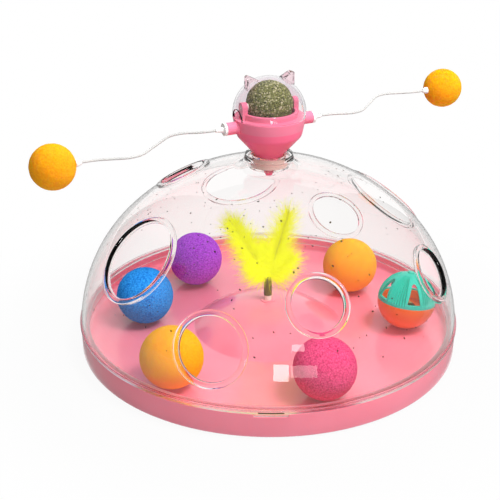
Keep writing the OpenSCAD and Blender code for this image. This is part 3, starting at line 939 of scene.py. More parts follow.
@dataclass
class Tray:
    """The moulded tray with its rim, ball track and centre hump.

    Attributes:
        radius: outer radius of the rim.
        inner: inner radius of the rim.
        rim: level of the rim.
        floor: level of the ball track.
        wall: wall of the moulding.
        foot: lower edge of the rim.
        hump: radius and top of the centre hump.
        fillet: radius where the hump runs into the track.
        socket: radius and bottom of the feather's socket, radius of its boss and its top.
        ribs: number of ribs below.
        rib: how far the middle of a rib lies under the moulding, its width and height.
        keys: number of notches for the dome's keys.
        key: half width and depth of a notch.
    """

    radius: float = 125.0
    inner: float = 122.6
    rim: float = 17.0
    floor: float = 6.0
    wall: float = 2.4
    foot: float = 1.0
    hump: Pair = (50.0, 25.0)
    fillet: float = 2.5
    socket: Four = (2.2, 16.4, 5.0, 25.4)
    ribs: int = 12
    rib: Triple = (0.9, 1.6, 2.0)
    keys: int = 4
    key: Pair = (10.3, 2.3)

    def outline(self) -> List[Triple]:
        """Draws the moulding from the axis outwards and back.

        Returns:
            Across, up and rounding of each corner.
        """
        rise = self.hump[1] - self.floor
        big = (self.hump[0] ** 2 + rise ** 2) / (2 * rise)
        mid, lift, thin = self.hump[1] - big, self.floor + self.fillet, big - self.wall
        away = sqrt((big + self.fillet) ** 2 - (lift - mid) ** 2)
        slope = degrees(atan2(lift - mid, away))
        bore, bottom, boss, top = self.socket
        under = arc(0, mid, thin, degrees(acos((self.hump[0] - self.wall) / thin)), 90, 14)
        return [(0, bottom, 0), (bore, bottom, 0), (bore, top, 0.3), (boss, top, 0.4),
                *arc(0, mid, big, degrees(acos(boss / big)), slope, 14),
                *arc(away, lift, self.fillet, slope - 180, -90, 8)[1:],
                (self.inner, self.floor, 2.4), (self.inner, self.rim, 0.5), (self.radius, self.rim, 0.7),
                (self.radius, self.foot, 1.6), (self.inner, self.foot, 0.4), (self.inner, self.floor - self.wall, 0.6),
                *[corner for corner in under if corner[0] > boss],
                (boss, bottom - self.wall, 0.4), (0, bottom - self.wall, 0)]

    def build(self) -> None:
        """Spins the moulding, cuts the notches and adds the ribs."""
        tray = spun("tray", self.outline(), steps=192)
        half, depth = self.key
        for turn in shares(self.keys):
            middle = ((self.radius + self.inner) / 2, 0, self.rim)
            cut(tray, placed(block("notch", middle, (self.wall * 3, 2 * half, 2 * depth)), turn))
        smooth(tray, angle=35)
        inside = self.hump[0] - self.wall
        under, wide, high = self.rib
        for turn in shares(self.ribs):
            middle = ((inside + self.inner) / 2, 0, self.floor - self.wall - under)
            joined([tray, placed(block("rib", middle, (self.inner - inside, wide, high)), turn)])
        settle(tray, Finishes.TRAY, "base", "tray_pink", "base_tray")
        dress_nodes(Finishes.RUBBER, "foot_pads")


# Dome


@dataclass
class Dome:
    """The blown clear dome with its lipped paw holes, flange, skirt and neck.

    Attributes:
        wall: wall of the dome.
        side: radius and level of the centre of the side arc, and its radius.
        crown: level of the centre of the crown arc, and its radius.
        foot_z: level where the wall runs into the flange.
        neck_r: radius where the crown runs into the neck.
        throat: outer radius of the turn from the crown into the neck.
        well: radius, level and rounding of each corner of the neck's lip and the spindle's well.
        flange: the same of the flange and the skirt.
        holes: direction, slope and diameter of each paw hole.
        lip: half width of a lip, and its rise outside and inside.
        soft: how softly a lip runs into the wall.
        gaps: distances from a hole's edge, past its lip, of the rings of points round it.
        plain: distance from a hole's edge where the plain wall begins.
        mesh: spacing of the points on the plain wall.
        rings: points of the rings at the neck and at the foot.
        keys: number of the keys under the flange.
        key: half width, near and far face and lower and upper level of a key.
        specks: number of printed specks.
        speck: smallest radius of a speck, how much larger and how much longer one may be.
        band: where on the wall the specks begin, how far they go, and how they gather.
        bare: distance from a hole's edge that stays free of specks.
        proud: how far the print stands off the wall.
        painted_notch_shadow: first direction and span in degrees, radius, and lower and upper level of the dark strip
            at the front, a painted shadow of the key notch there.
    """

    wall: float = 2.0
    side: Triple = (24.0, 12.0, 101.0)
    crown: Pair = (-11.8, 134.8)
    foot_z: float = 19.2
    neck_r: float = 24.0
    throat: float = 8.8
    well: Tuple[Triple, ...] = (
        (15.2, 129.5, 0.5), (11.4, 129.5, 0.6), (11.4, 121.5, 0.5), (3.06, 121.5, 0.1), (3.06, 120, 0.1),
        (12.9, 120, 0.6), (12.9, 126, 0.8))
    flange: Tuple[Triple, ...] = (
        (125.6, 19.2, 0.5), (125.6, 17.05, 0.4), (122.3, 17.05, 0.3), (122.3, 12.5, 0.5), (120.3, 12.5, 0.5),
        (120.3, 19.2, 0.8))
    holes: Tuple[Triple, ...] = (
        (213, 43.5, 52), (33, 42, 52), (101, 37.5, 52), (252.5, 23, 38), (63, 18, 38), (285, 38, 31),
        (338, 32, 31), (160, 63.5, 31))
    lip: Triple = (1.75, 2.2, 1.8)
    soft: float = 0.3
    gaps: Tuple[float, ...] = (3.9, 4.6, 5.6, 7.0, 9.0)
    plain: float = 10.5
    mesh: float = 4.5
    rings: Tuple[int, int] = (96, 240)
    keys: int = 4
    key: Tuple[float, ...] = (10.0, 122.65, 124.5, 15.0, 17.03)
    specks: int = 280
    speck: Triple = (0.3, 0.3, 0.8)
    band: Triple = (35, 120, 0.8)
    bare: float = 6.0
    proud: float = 0.04
    painted_notch_shadow: Tuple[float, ...] = (-93.4, 6.8, 125.66, 17.7, 18.5)

    def __post_init__(self) -> None:
        """Works out where the two arcs meet, how long they are and how the holes lie."""
        self.meet = atan2(self.side[1] - self.crown[0], self.side[0])
        self.crown_m = self.crown[1] - self.wall / 2
        self.side_m = self.side[2] - self.wall / 2
        self.s_meet = self.crown_m * (pi / 2 - self.meet)
        self.frames = [self.hole_frame(hole) for hole in self.holes]

    def on_arc(self, s: float, proud: float = 0.0) -> Triple:
        """Radius, level and slope of the wall's middle at a length from the crown.

        Args:
            s: length along the wall from the axis.
            proud: how far out from the middle of the wall.

        Returns:
            Radius, level and angle of the normal above level.
        """
        if s < self.s_meet:
            a, r = pi / 2 - s / self.crown_m, self.crown_m + proud
            return (r * cos(a), self.crown[0] + r * sin(a), a)
        a, r = self.meet - (s - self.s_meet) / self.side_m, self.side_m + proud
        return (self.side[0] + r * cos(a), self.side[1] + r * sin(a), a)

    def length(self, p: Vector) -> float:
        """Finds the place on the wall nearest a point.

        Args:
            p: the point.

        Returns:
            The length along the wall from the axis.
        """
        r = hypot(p.x, p.y)
        a = atan2(p.z - self.side[1], r - self.side[0])
        if a > self.meet:
            return self.crown_m * (pi / 2 - atan2(p.z - self.crown[0], r))
        return self.s_meet + self.side_m * (self.meet - a)

    def outside(self, p: Vector) -> float:
        """Measures how far a point lies outside the wall's middle.

        Args:
            p: the point.

        Returns:
            The distance, below nought inside.
        """
        r = hypot(p.x, p.y)
        if atan2(p.z - self.side[1], r - self.side[0]) > self.meet:
            return hypot(r, p.z - self.crown[0]) - self.crown_m
        return hypot(r - self.side[0], p.z - self.side[1]) - self.side_m

    def hole_frame(self, hole: Triple) -> Tuple[Vector, Vector, Vector, Vector]:
        """Finds how a hole lies.

        Args:
            hole: direction, slope and diameter of the hole.

        Returns:
            Middle of the hole on the wall, its axis, and two directions across it.
        """
        az, el = radians(hole[0]), radians(hole[1])
        x, z, big = (0.0, *self.crown) if el > self.meet else self.side
        axis, across = polar(cos(el), az, sin(el)), Vector((-sin(az), cos(az), 0))
        return polar(x + big * cos(el), az, z + big * sin(el)), axis, across, axis.cross(across)

    def edge_distance(self, p: Vector) -> float:
        """Measures how far a point of the wall lies from the nearest hole's edge.

        Args:
            p: the point.

        Returns:
            The distance, below nought in a hole.
        """
        best = 1e3
        for hole, (mid, axis, _, _) in zip(self.holes, self.frames):
            if p.dot(axis) > 0:
                off = p - mid
                best = min(best, (off - axis * off.dot(axis)).length - hole[2] / 2)
        return best

    def ring(self, number: int, gap: float) -> List[Vector]:
        """Points of the wall's middle at one distance from a hole's edge.

        Args:
            number: which hole it is.
            gap: distance from its edge.

        Returns:
            The points in order round the hole.
        """
        wide = self.holes[number][2]
        mid, axis, a, b = self.frames[number]
        count = int(wide * 1.1 + 50)
        out = []
        for k in range(count):
            t = TAU * k / count
            base = mid + (a * cos(t) + b * sin(t)) * (wide / 2 + gap)
            low, high = -40.0, 20.0
            for _ in range(40):
                step = (low + high) / 2
                low, high = (low, step) if self.outside(base + axis * step) > 0 else (step, high)
            out.append(base + axis * low)
        return out

    def thickness(self, gap: float, rise: float) -> float:
        """Distance of a face from the wall's middle, which swells to a lip round a hole.

        Args:
            gap: distance from the hole's edge.
            rise: height of the lip.

        Returns:
            Half the wall, or more at a lip.
        """
        half, soft = self.lip[0], self.soft
        bead = rise * max(0.0, 1 - abs((gap - half) / half) ** 5) ** 0.2
        if gap < half:
            return bead
        plain = self.wall / 2
        step = bead - plain
        return (bead + plain + sqrt(step ** 2 + (2 * soft) ** 2)) / 2 - soft ** 2 / (abs(step) + soft)

    def spread(self) -> Tuple[List[Vector], List[Ids], List[int], List[int]]:
        """Spreads points over the middle of the wall, close together round the holes.

        Returns:
            The points, the fixed edges, and the rings at the neck and the foot.
        """
        s_neck = self.crown_m * asin(self.neck_r / self.crown_m)
        s_foot = self.s_meet + self.side_m * (self.meet - asin((self.foot_z - self.side[1]) / self.side_m))
        points: List[Vector] = []
        edges: List[Ids] = []
        closed: List[List[int]] = []

        def add(ring: List[Vector], fixed: bool) -> None:
            """Keeps a ring of points, with its edges where it is fixed.

            Args:
                ring: the points.
                fixed: whether its edges stay.
            """
            ids = list(range(len(points), len(points) + len(ring)))
            points.extend(ring)
            if fixed:
                closed.append(ids)
                edges.extend((ids[i - 1], ids[i]) for i in range(len(ids)))

        for s, count in zip((s_neck, s_foot), self.rings):
            add(circle(*self.on_arc(s)[:2], count), True)
        lip = [self.lip[0] * (1 - cos(radians(15 * i))) for i in range(13)]
        for number in range(len(self.holes)):
            for gap in (*lip, *self.gaps):
                add([p for p in self.ring(number, gap) if gap == 0 or (
                    self.length(p) < s_foot - 1.5 and self.edge_distance(p) > gap - 0.05)], gap == 0)
        steps = int((s_foot - s_neck) / self.mesh)
        for i in range(1, steps):
            r, z, _ = self.on_arc(s_neck + (s_foot - s_neck) * i / steps)
            ring = circle(r, z, int(TAU * r / self.mesh), i * 0.5)
            add([p for p in ring if self.edge_distance(p) > self.plain], False)
        return points, edges, closed[0], closed[1]

    def neck(self) -> List[Triple]:
        """Draws the neck from the crown's outer face over the lip and the well to its inner face.

        Returns:
            Across, up and rounding of each corner.
        """
        big = self.throat + self.wall
        x, z = Vector((self.neck_r, self.crown[0] + sqrt(self.crown[1] ** 2 - self.neck_r ** 2) + self.throat))
        return [*arc(x, z, self.throat, 262, 190, 9), *self.well, *arc(x, z, big, 206, 262, 7)]

    def shell(self) -> Piece:
        """Makes both faces of the wall, the neck and the foot as one closed piece.

        Returns:
            The dome without its keys.
        """
        mids, edges, neck, foot = self.spread()
        flat = [polar(self.length(p), atan2(p.y, p.x), 0).to_2d() for p in mids]
        _, _, faces, origin, _, _ = geometry.delaunay_2d_cdt(flat, edges, [], 0, 1e-7)
        name = [ids[0] for ids in origin]
        fixed = {k for edge in edges for k in edge}
        rims = {*neck, *foot}
        points: List[Vector] = []
        outer, inner = [0] * len(mids), [0] * len(mids)
        for i, p in enumerate(mids):
            a = self.on_arc(self.length(p))[2]
            up = polar(cos(a), atan2(p.y, p.x), sin(a))
            outer[i] = inner[i] = len(points)
            if i in fixed and i not in rims:
                points.append(p)
                continue
            gap = self.edge_distance(p)
            inner[i] = len(points) + 1
            points += [p + up * self.thickness(gap, self.lip[1]), p - up * self.thickness(gap, self.lip[2])]
        skin: List[Ids] = []
        for f in faces:
            ids = [name[k] for k in f]
            if not fixed.issuperset(ids):
                skin += [tuple(outer[k] for k in ids), tuple(inner[k] for k in reversed(ids))]
        ends = [(1e-3, 0, 0)]
        for rim, outline in ((neck, self.neck()), (foot, self.flange)):
            rows = [[outer[k] for k in rim]]
            for r, z in softened([*ends, *outline, *ends])[1:-1]:
                rows.append(list(range(len(points), len(points) + len(rim))))
                points += circle(r, z, len(rim))
            rows.append([inner[k] for k in rim])
            for low, high in zip(rows, rows[1:]):
                skin += [(low[k - 1], low[k], high[k], high[k - 1]) for k in range(len(rim))]
        return smooth(mend(from_points("dome", points, skin), 1e-7), 60)

    def build(self) -> None:
        """Makes the dome with its keys, then the specks printed on it and the painted shadow at the front of its
        flange.
        """
        half, near, far, low, high = self.key
        pieces = [self.shell()]
        for turn in shares(self.keys):
            key = block("key", ((near + far) / 2, 0, (low + high) / 2), (far - near, 2 * half, high - low))
            finish_with(key, "BEVEL", width=0.25 * MM, segments=2)
            pieces.append(placed(smooth(key), turn))
        settle(joined(pieces), Finishes.DOME, "dome", "dome_clear", "dome_cover")
        self.print_specks_and_paint_shadow()

    def print_specks_and_paint_shadow(self) -> None:
        """Scatters the small printed specks over the outer face, and lays a dark strip on the front of the flange as
        painted shadow of its key notch.
        """
        chance = random.Random(11)
        points: List[Vector] = []
        faces: List[Ids] = []
        start, reach, gather = self.band
        least, more, longer = self.speck
        while len(faces) < self.specks:
            s = start + reach * chance.random() ** gather
            az = TAU * chance.random()
            r, z, a = self.on_arc(s, self.wall / 2 + self.proud)
            p = polar(r, az, z)
            if self.edge_distance(p) < self.bare:
                continue
            u = Vector((-sin(az), cos(az), 0))
            v = polar(cos(a), az, sin(a)).cross(u)
            size = least + more * chance.random() ** 2
            long = 1 + longer * chance.random()
            spin = TAU * chance.random()
            sides = 7
            faces.append(tuple(range(len(points), len(points) + sides)))
            for t in (TAU * k / sides for k in range(sides)):
                x, y = size * long * cos(t), size * sin(t)
                points.append(p + u * (x * cos(spin) - y * sin(spin)) + v * (x * sin(spin) + y * cos(spin)))
        # A dark strip on the flange's front edge: painted shadow of the key notch there.
        first, span, r, low, high = self.painted_notch_shadow
        parts = 12
        for k in range(parts):
            faces.append(tuple(range(len(points), len(points) + 4)))
            points += [polar(r, radians(first + span * step / parts), z)
                       for step, z in ((k, low), (k + 1, low), (k + 1, high), (k, high))]
        settle(from_points("dome_specks_and_painted_shadow", points, faces), Finishes.SPECK_AND_SHADOW, "dome", "dome_clear")


# Spinner


@dataclass
class Hub:
    """The cup of the spinner with its nozzles and axle posts, on its spindle.

    Attributes:
        foot: level of its lower face.
        ledge: level of the ledge that carries the cover.
        radius: radius at the ledge.
        bore: radius and depth of the spindle's bore.
        steps: radius and rise of each step at its foot.
        cone: radius at the top of the cone, and how far that lies below the ledge.
        ring: outer radius and height of the ring inside the ledge.
        bowl: radius of the bowl and level of its centre.
        heading: direction of the arms.
        nozzle: radius, root, reach and level of the nozzles, and the radius and depth of their bores.
        post: inner and outer face of a post, its half width, the level of the axle and the radius of its bore.
    """

    foot: float = 128.5
    ledge: float = 154.0
    radius: float = 23.0
    bore: Pair = (4.05, 6.3)
    steps: Tuple[Pair, ...] = ((9.2, 0.0), (9.2, 1.4), (10.5, 2.1))
    cone: Pair = (20.5, 12.2)
    ring: Pair = (17.6, 3.6)
    bowl: Pair = (15.6, 156.3)
    heading: float = 25.0
    nozzle: Tuple[float, ...] = (3.9, 12.0, 29.6, 149.0, 2.5, 10.0)
    post: Tuple[float, ...] = (15.8, 19.2, 3.0, 161.3, 1.56)

    def outline(self) -> List[Triple]:
        """Draws the cup from its bore over its ledge to the bowl.

        Returns:
            Across, up and rounding of each corner.
        """
        (bore, deep), (cone, drop), (ring, high), (bowl, mid) = self.bore, self.cone, self.ring, self.bowl
        return [(0, self.foot + deep, 0), (bore, self.foot + deep, 0), (bore, self.foot, 0.2),
                *[(r, self.foot + up, 0.6) for r, up in self.steps], (cone, self.ledge - drop, 1.6),
                (self.radius, self.ledge, 0.5), (ring, self.ledge, 0.5), (ring, self.ledge + high, 0.95),
                (bowl, self.ledge + high, 0.95), (bowl, mid, 0), *arc(0, mid, bowl, -6, -84, 13), (0, mid - bowl, 0)]

    def build(self) -> None:
        """Spins the cup and adds what stands on it."""
        cup = spun("cup", self.outline(), steps=128)
        radius, root, reach, level, bore, depth = self.nozzle
        near, far, half, axle, hole = self.post
        across = turned(90, "Y")
        for side in Side:
            turn = turned(self.heading + side.value, "Z")
            along = at_mm(0, 0, level) @ turn @ across
            cut(cup, placed(rod("nozzle", radius, root, reach, edge=0.4), along), "UNION")
            cut(cup, placed(rod("bore", bore, reach - depth, reach + 2, edge=0.1), along))
            root_z = self.ledge - 1
            post = block("post", ((near + far) / 2, 0, (root_z + axle) / 2), (far - near, 2 * half, axle - root_z))
            along = at_mm(0, 0, axle) @ across
            cut(post, placed(rod("crown", half, near, far, edge=0.02), along), "UNION")
            cut(post, placed(rod("axle bore", hole, near - 1, far + 1, edge=0.02), along))
            cut(cup, placed(post, turn), "UNION")
        soften_edges(cup, width=0.25, segments=2)
        settle(smooth(cup, angle=35), Finishes.HUB, "rotor", "hub_pink", "hub_cup")
        dress_nodes(Finishes.HUB, "hub_spindle")
        dress_nodes(Finishes.BUSH, "neck_bushing")


@dataclass
class Catnip:
    """The pressed catnip ball on its axle.

    Attributes:
        radius: radius of the ball.
        level: level of its centre.
    """

    radius: float = 14.9
    level: float = 161.3

    def build(self) -> None:
        """Makes the crumbly ball and dresses the axle."""
        herb = soft_ball("catnip", self.radius, Pile.CRUMBS, at_mm(0, 0, self.level))
        settle(herb, Finishes.HERB, "catnip", "catnip", "catnip_ball")
        dress_nodes(Finishes.CREAM, "catnip_axle")


@dataclass
class Cover:
    """The clear lift-off cover with its two hollow ears.

    Attributes:
        level: level of the middle of its ball.
        radius: outer radius.
        wall: wall of the cover.
        foot: level of its lower edge.
        heading: direction of the arms.
        arch: radius and level of the arches over the nozzles.
        ear: height over the cover, width, depth and wall of an ear.
        root: how far an ear reaches below the inside of the cover before it is cut to the round.
        gap: room between the round and an ear.
        lean: lean of the ears.
        tip: radius of an ear's tip.
    """

    level: float = 155.7
    radius: float = 23.0
    wall: float = 1.3
    foot: float = 154.05
    heading: float = 25.0
    arch: Pair = (6.5, 154.0)
    ear: Four = (6.2, 14.5, 5.0, 1.0)
    root: float = 3.0
    gap: float = 0.04
    lean: float = 32.0
    tip: float = 1.6

    def outline(self, inset: float) -> List[Triple]:
        """Draws an ear.

        Args:
            inset: how far it is set in all round.

        Returns:
            Across, up and rounding of each corner.
        """
        half, root = self.ear[1] / 2 - inset, self.radius - self.wall - self.root
        top = self.radius + self.ear[0] - inset
        return [(-half, root, 0), (half, root, 0), *arc(0, top - self.tip, self.tip, 20, 160, 7)]

    def build_ear(self, side: Side) -> Piece:
        """Cuts one ear to the round of the cover and hollows its front.

        Args:
            side: which ear it is.

        Returns:
            The ear in its place.
        """
        _, _, deep, wall = self.ear
        ear = prism("ear_" + side.word, self.outline(0), -deep / 2, deep / 2)
        soften_edges(ear, width=0.5, segments=3)
        cut(ear, prism("hollow", self.outline(2 * wall), -deep, deep / 2 - wall))
        cut(ear, ball("round", self.radius + self.gap, divisions=6))
        lean = self.lean if side is Side.RIGHT else -self.lean
        return placed(smooth(ear), turned(self.heading, "Z") @ at_mm(0, 0, self.level) @ turned(lean, "Y"))

    def build(self) -> None:
        """Spins the shell, cuts its arches and sets the ears on it."""
        inner, drop = self.radius - self.wall, self.foot - self.level
        out, back = degrees(asin(drop / self.radius)), degrees(asin(drop / inner))
        corners = arc(0, self.level, self.radius, out, 90, 32) + arc(0, self.level, inner, 90, back, 32)
        shell = spun("cover", corners, steps=128)
        for side in Side:
            turn = at_mm(0, 0, self.arch[1]) @ turned(self.heading + side.value, "Z") @ turned(90, "Y")
            cut(shell, placed(rod("arch", self.arch[0], 10, 40, edge=0.1, steps=64), turn))
        settle(smooth(shell), Finishes.COVER, "cover", "cover_clear", "catnip_cover")
        ears = joined([self.build_ear(side) for side in Side])
        ears.name = ears.data.name = "ears"
        settle(ears, Finishes.EAR, "cover", "cover_clear")


@dataclass
class Arm:
    """One bent wire arm with its ferrule, cap and ball.

    Attributes:
        side: which arm it is.
        level: level of the wire.
        heading: direction in which the wire leaves the cup.
        start: distance from the axis where the wire begins.
        moves: straight length, bend radius and turn of each part of the wire.
        reach: last straight length up to the ball's middle.
        wire_r: radius of the wire.
        sides: sides of the wire.
        ball_r: radius of the ball.
    """

    side: Side
    level: float = 149.0
    heading: float = 25.0
    start: float = 20.6
    moves: Tuple[Triple, ...] = ((17.4, 37, -22), (0, 16, 66), (27, 16, -60), (9, 36, 18))
    reach: float = 19.5
    wire_r: float = 0.7
    sides: int = 16
    ball_r: float = 13.2

    def route(self) -> List[Triple]:
        """Follows the wire from the cup to the ball's middle.

        Returns:
            Across, depth and heading in radians of each place.
        """
        a = radians(self.heading)
        x, y = self.start * cos(a), self.start * sin(a)
        out: List[Triple] = [(x, y, a)]
        for straight, radius, turn in self.moves:
            x, y = x + straight * cos(a), y + straight * sin(a)
            if straight:
                out.append((x, y, a))
            r = radius if turn > 0 else -radius
            begin, cx, cy = a, x - r * sin(a), y + r * cos(a)
            steps = max(4, int(abs(turn) / 3))
            for i in range(1, steps + 1):
                a = begin + radians(turn) * i / steps
                x, y = cx + r * sin(a), cy - r * cos(a)
                out.append((x, y, a))
        out.append((x + self.reach * cos(a), y + self.reach * sin(a), a))
        return out

    def build(self) -> None:
        """Sweeps the wire and makes the ball at its end."""
        route, n, r = self.route(), self.sides, self.wire_r
        points = [(x - r * cos(t) * sin(a), y + r * cos(t) * cos(a), self.level + r * sin(t))
                  for x, y, a in route for t in (TAU * k / n for k in range(n))]
        faces: List[Ids] = [(p + k, p + n + k, p + n + (k + 1) % n, p + (k + 1) % n)
                            for p in range(0, len(points) - n, n) for k in range(n)]
        faces += [tuple(range(n)), tuple(range(len(points) - n, len(points)))]
        word, turn = self.side.word, turned(self.side.value, "Z")
        wire = smooth(mend(placed(from_points("wire_" + word, points, faces), turn)), 50)
        settle(wire, Finishes.WIRE, "rotor", "coated_wire", "arm_wire_" + word)
        wing = soft_ball("wing_" + word, self.ball_r, Pile.WING, turn @ at_mm(*route[-1][:2], self.level))
        settle(wing, Finishes.WING, "rotor", "wing_foam", "wing_ball_" + word)
        dress_nodes(Finishes.WHITE, "wire_ferrule_" + word, "ball_cap_" + word)


# Feather


@dataclass(frozen=True)
class Tuft:
    """Barbs along one run of quill.

    Attributes:
        lean: lean of the run in degrees, to the right.
        run: length of quill that carries barbs.
        barbs: number of barbs.
        reach: length of the longest barbs.
        gather: how far they gather at the foot of the run.
        parts: parts of a barb.
        bare: length of bare quill at the foot.
        fan: scatter of the barbs about the two sides of the quill.
        flat: depth of the tuft against its width.
        shorter: how much shorter the barbs are at the tip.
        lengths: least length of a barb against the longest, how much more it may be, and how the short ones gather.
        pitch: angle of a barb from the quill at the foot, how much less it is at the tip, and its scatter.
        curl: mean bend of a barb in degrees, and its scatter.
        sway: how far a barb strays from its bend.
        thick: least radius of a barb at its root, and how much more it may be.
    """

    lean: float
    run: float
    barbs: int
    reach: float
    gather: float
    parts: int = 5
    bare: float = 1.0
    fan: float = 0.7
    flat: float = 0.75
    shorter: float = 0.3
    lengths: Triple = (0.4, 0.8, 1.6)
    pitch: Triple = (84, 50, 18)
    curl: Pair = (-20, 30)
    sway: float = 0.2
    thick: Pair = (0.085, 0.05)

    def barb(self, chance: random.Random) -> Tuple[List[Vector], float]:
        """Grows one barb.

        Args:
            chance: the scatter.

        Returns:
            Its middle line in the run's own frame, and its radius at the root.
        """
        t = chance.random() ** self.gather
        around = pi * (chance.random() < 0.5) + chance.gauss(0, self.fan)
        away = Vector((cos(around), self.flat * sin(around), 0))
        least, more, short = self.lengths
        length = self.reach * (1 - self.shorter * t) * (least + more * chance.random() ** short)
        foot, less, scatter = self.pitch
        pitch = radians(foot - less * t + scatter * chance.gauss(0, 1))
        bend = radians(self.curl[0] + self.curl[1] * chance.gauss(0, 1)) / self.parts
        line = [Vector((0, 0, self.bare + self.run * t))]
        sway = Vector([chance.gauss(0, 1) for _ in range(3)]) * self.sway
        for k in range(self.parts):
            step = away * sin(pitch) + Vector((0, 0, cos(pitch))) + sway * (k / 2)
            line.append(line[-1] + step.normalized() * (length / self.parts))
            pitch += bend
        return line, self.thick[0] + self.thick[1] * chance.random()


@dataclass
class Plume:
    """One fluffy plume of the feather: many fine barbs along its quill and at its foot.

    Attributes:
        side: which plume it is.
        tufts: its runs of barbs.
        root: where the quill leaves the sleeve.
        seed: seed of the scatter.
        taper: how much thinner a barb is at its tip.
    """

    side: Side
    tufts: Tuple[Tuft, ...]
    root: Triple
    seed: int
    taper: float = 0.85

    def build(self) -> None:
        """Grows the barbs as thin three-sided threads."""
        chance = random.Random(self.seed)
        points: List[Vector] = []
        faces: List[Ids] = []
        tips: List[float] = []
        for tuft in self.tufts:
            lean, n = turned(tuft.lean, "Y"), tuft.parts
            for _ in range(tuft.barbs):
                line, thick = tuft.barb(chance)
                first = len(points)
                for k, p in enumerate(line):
                    ahead = (line[min(k + 1, n)] - line[max(k - 1, 0)]).normalized()
                    u = ahead.orthogonal().normalized()
                    v = ahead.cross(u)
                    r = thick * (1 - self.taper * k / n)
                    points += [lean @ (p + (u * cos(t) + v * sin(t)) * r) for t in (0.0, TAU / 3, TAU * 2 / 3)]
                    tips += [k / n] * 3
                for a in range(first, first + 3 * n, 3):
                    faces += [(a + j, a + (j + 1) % 3, a + 3 + (j + 1) % 3, a + 3 + j) for j in range(3)]
                last = len(points)
                faces += [(first + 2, first + 1, first), (last - 3, last - 2, last - 1)]
        plume = from_points("plume_" + self.side.word, points, faces)
        plume.data.attributes.new("tip", "FLOAT", "POINT").data.foreach_set("value", tips)
        plume.data.shade_smooth()
        placed(plume, at_mm(*self.root))
        plume.visible_shadow = False
        settle(plume, Finishes.DOWN, "feather", "feather_yellow", "feather_plume_" + self.side.word)


@dataclass
class Feather:
    """The feather toy on its plug: sleeve, quills and two plumes.

    Attributes:
        top: level where the quills leave the sleeve.
        apart: half the distance of the quills.
        left: runs of barbs of the left plume.
        right: runs of barbs of the right plume.
    """

    top: float = 41.8
    apart: float = 0.55
    left: Tuple[Tuft, ...] = (Tuft(-31, 42, 4200, 19, 0.95), Tuft(-62, 9, 1000, 15, 1.0))
    right: Tuple[Tuft, ...] = (Tuft(15, 45, 2950, 20, 1.45), Tuft(48, 18, 1800, 18, 1.0), Tuft(-8, 22, 1400, 12, 1.2))

    def build(self) -> None:
        """Grows both plumes and dresses what holds them."""
        Plume(Side.LEFT, self.left, (-self.apart, 0, self.top), 5).build()
        Plume(Side.RIGHT, self.right, (self.apart, 0, self.top), 8).build()
        dress_nodes(Finishes.CREAM, "feather_plug")
        dress_nodes(Finishes.SLEEVE, "feather_sleeve")
        dress_nodes(Finishes.QUILL, "feather_quills")


# Balls


@dataclass
class LooseBall:
    """A loose ball on the track.

    Attributes:
        node: its CAD node.
        body: its body.
        slot: its material slot.
        place: its middle, across and in depth.
        finish: its finish.
        pile: its skin.
        level: level of its middle.
        radius: its radius.
    """

    node: str
    body: str
    slot: str
    place: Pair
    finish: Finish
    pile: Pile
    level: float = 25.7
    radius: float = 19.4

    def build(self) -> None:
        """Makes the ball with its plush or foam skin."""
        middle = Vector((*self.place, self.level))
        skin = soft_ball(self.body, self.radius, self.pile, at_mm(*self.place, self.level), middle * 0.1)
        settle(skin, self.finish, self.body, self.slot, self.node)


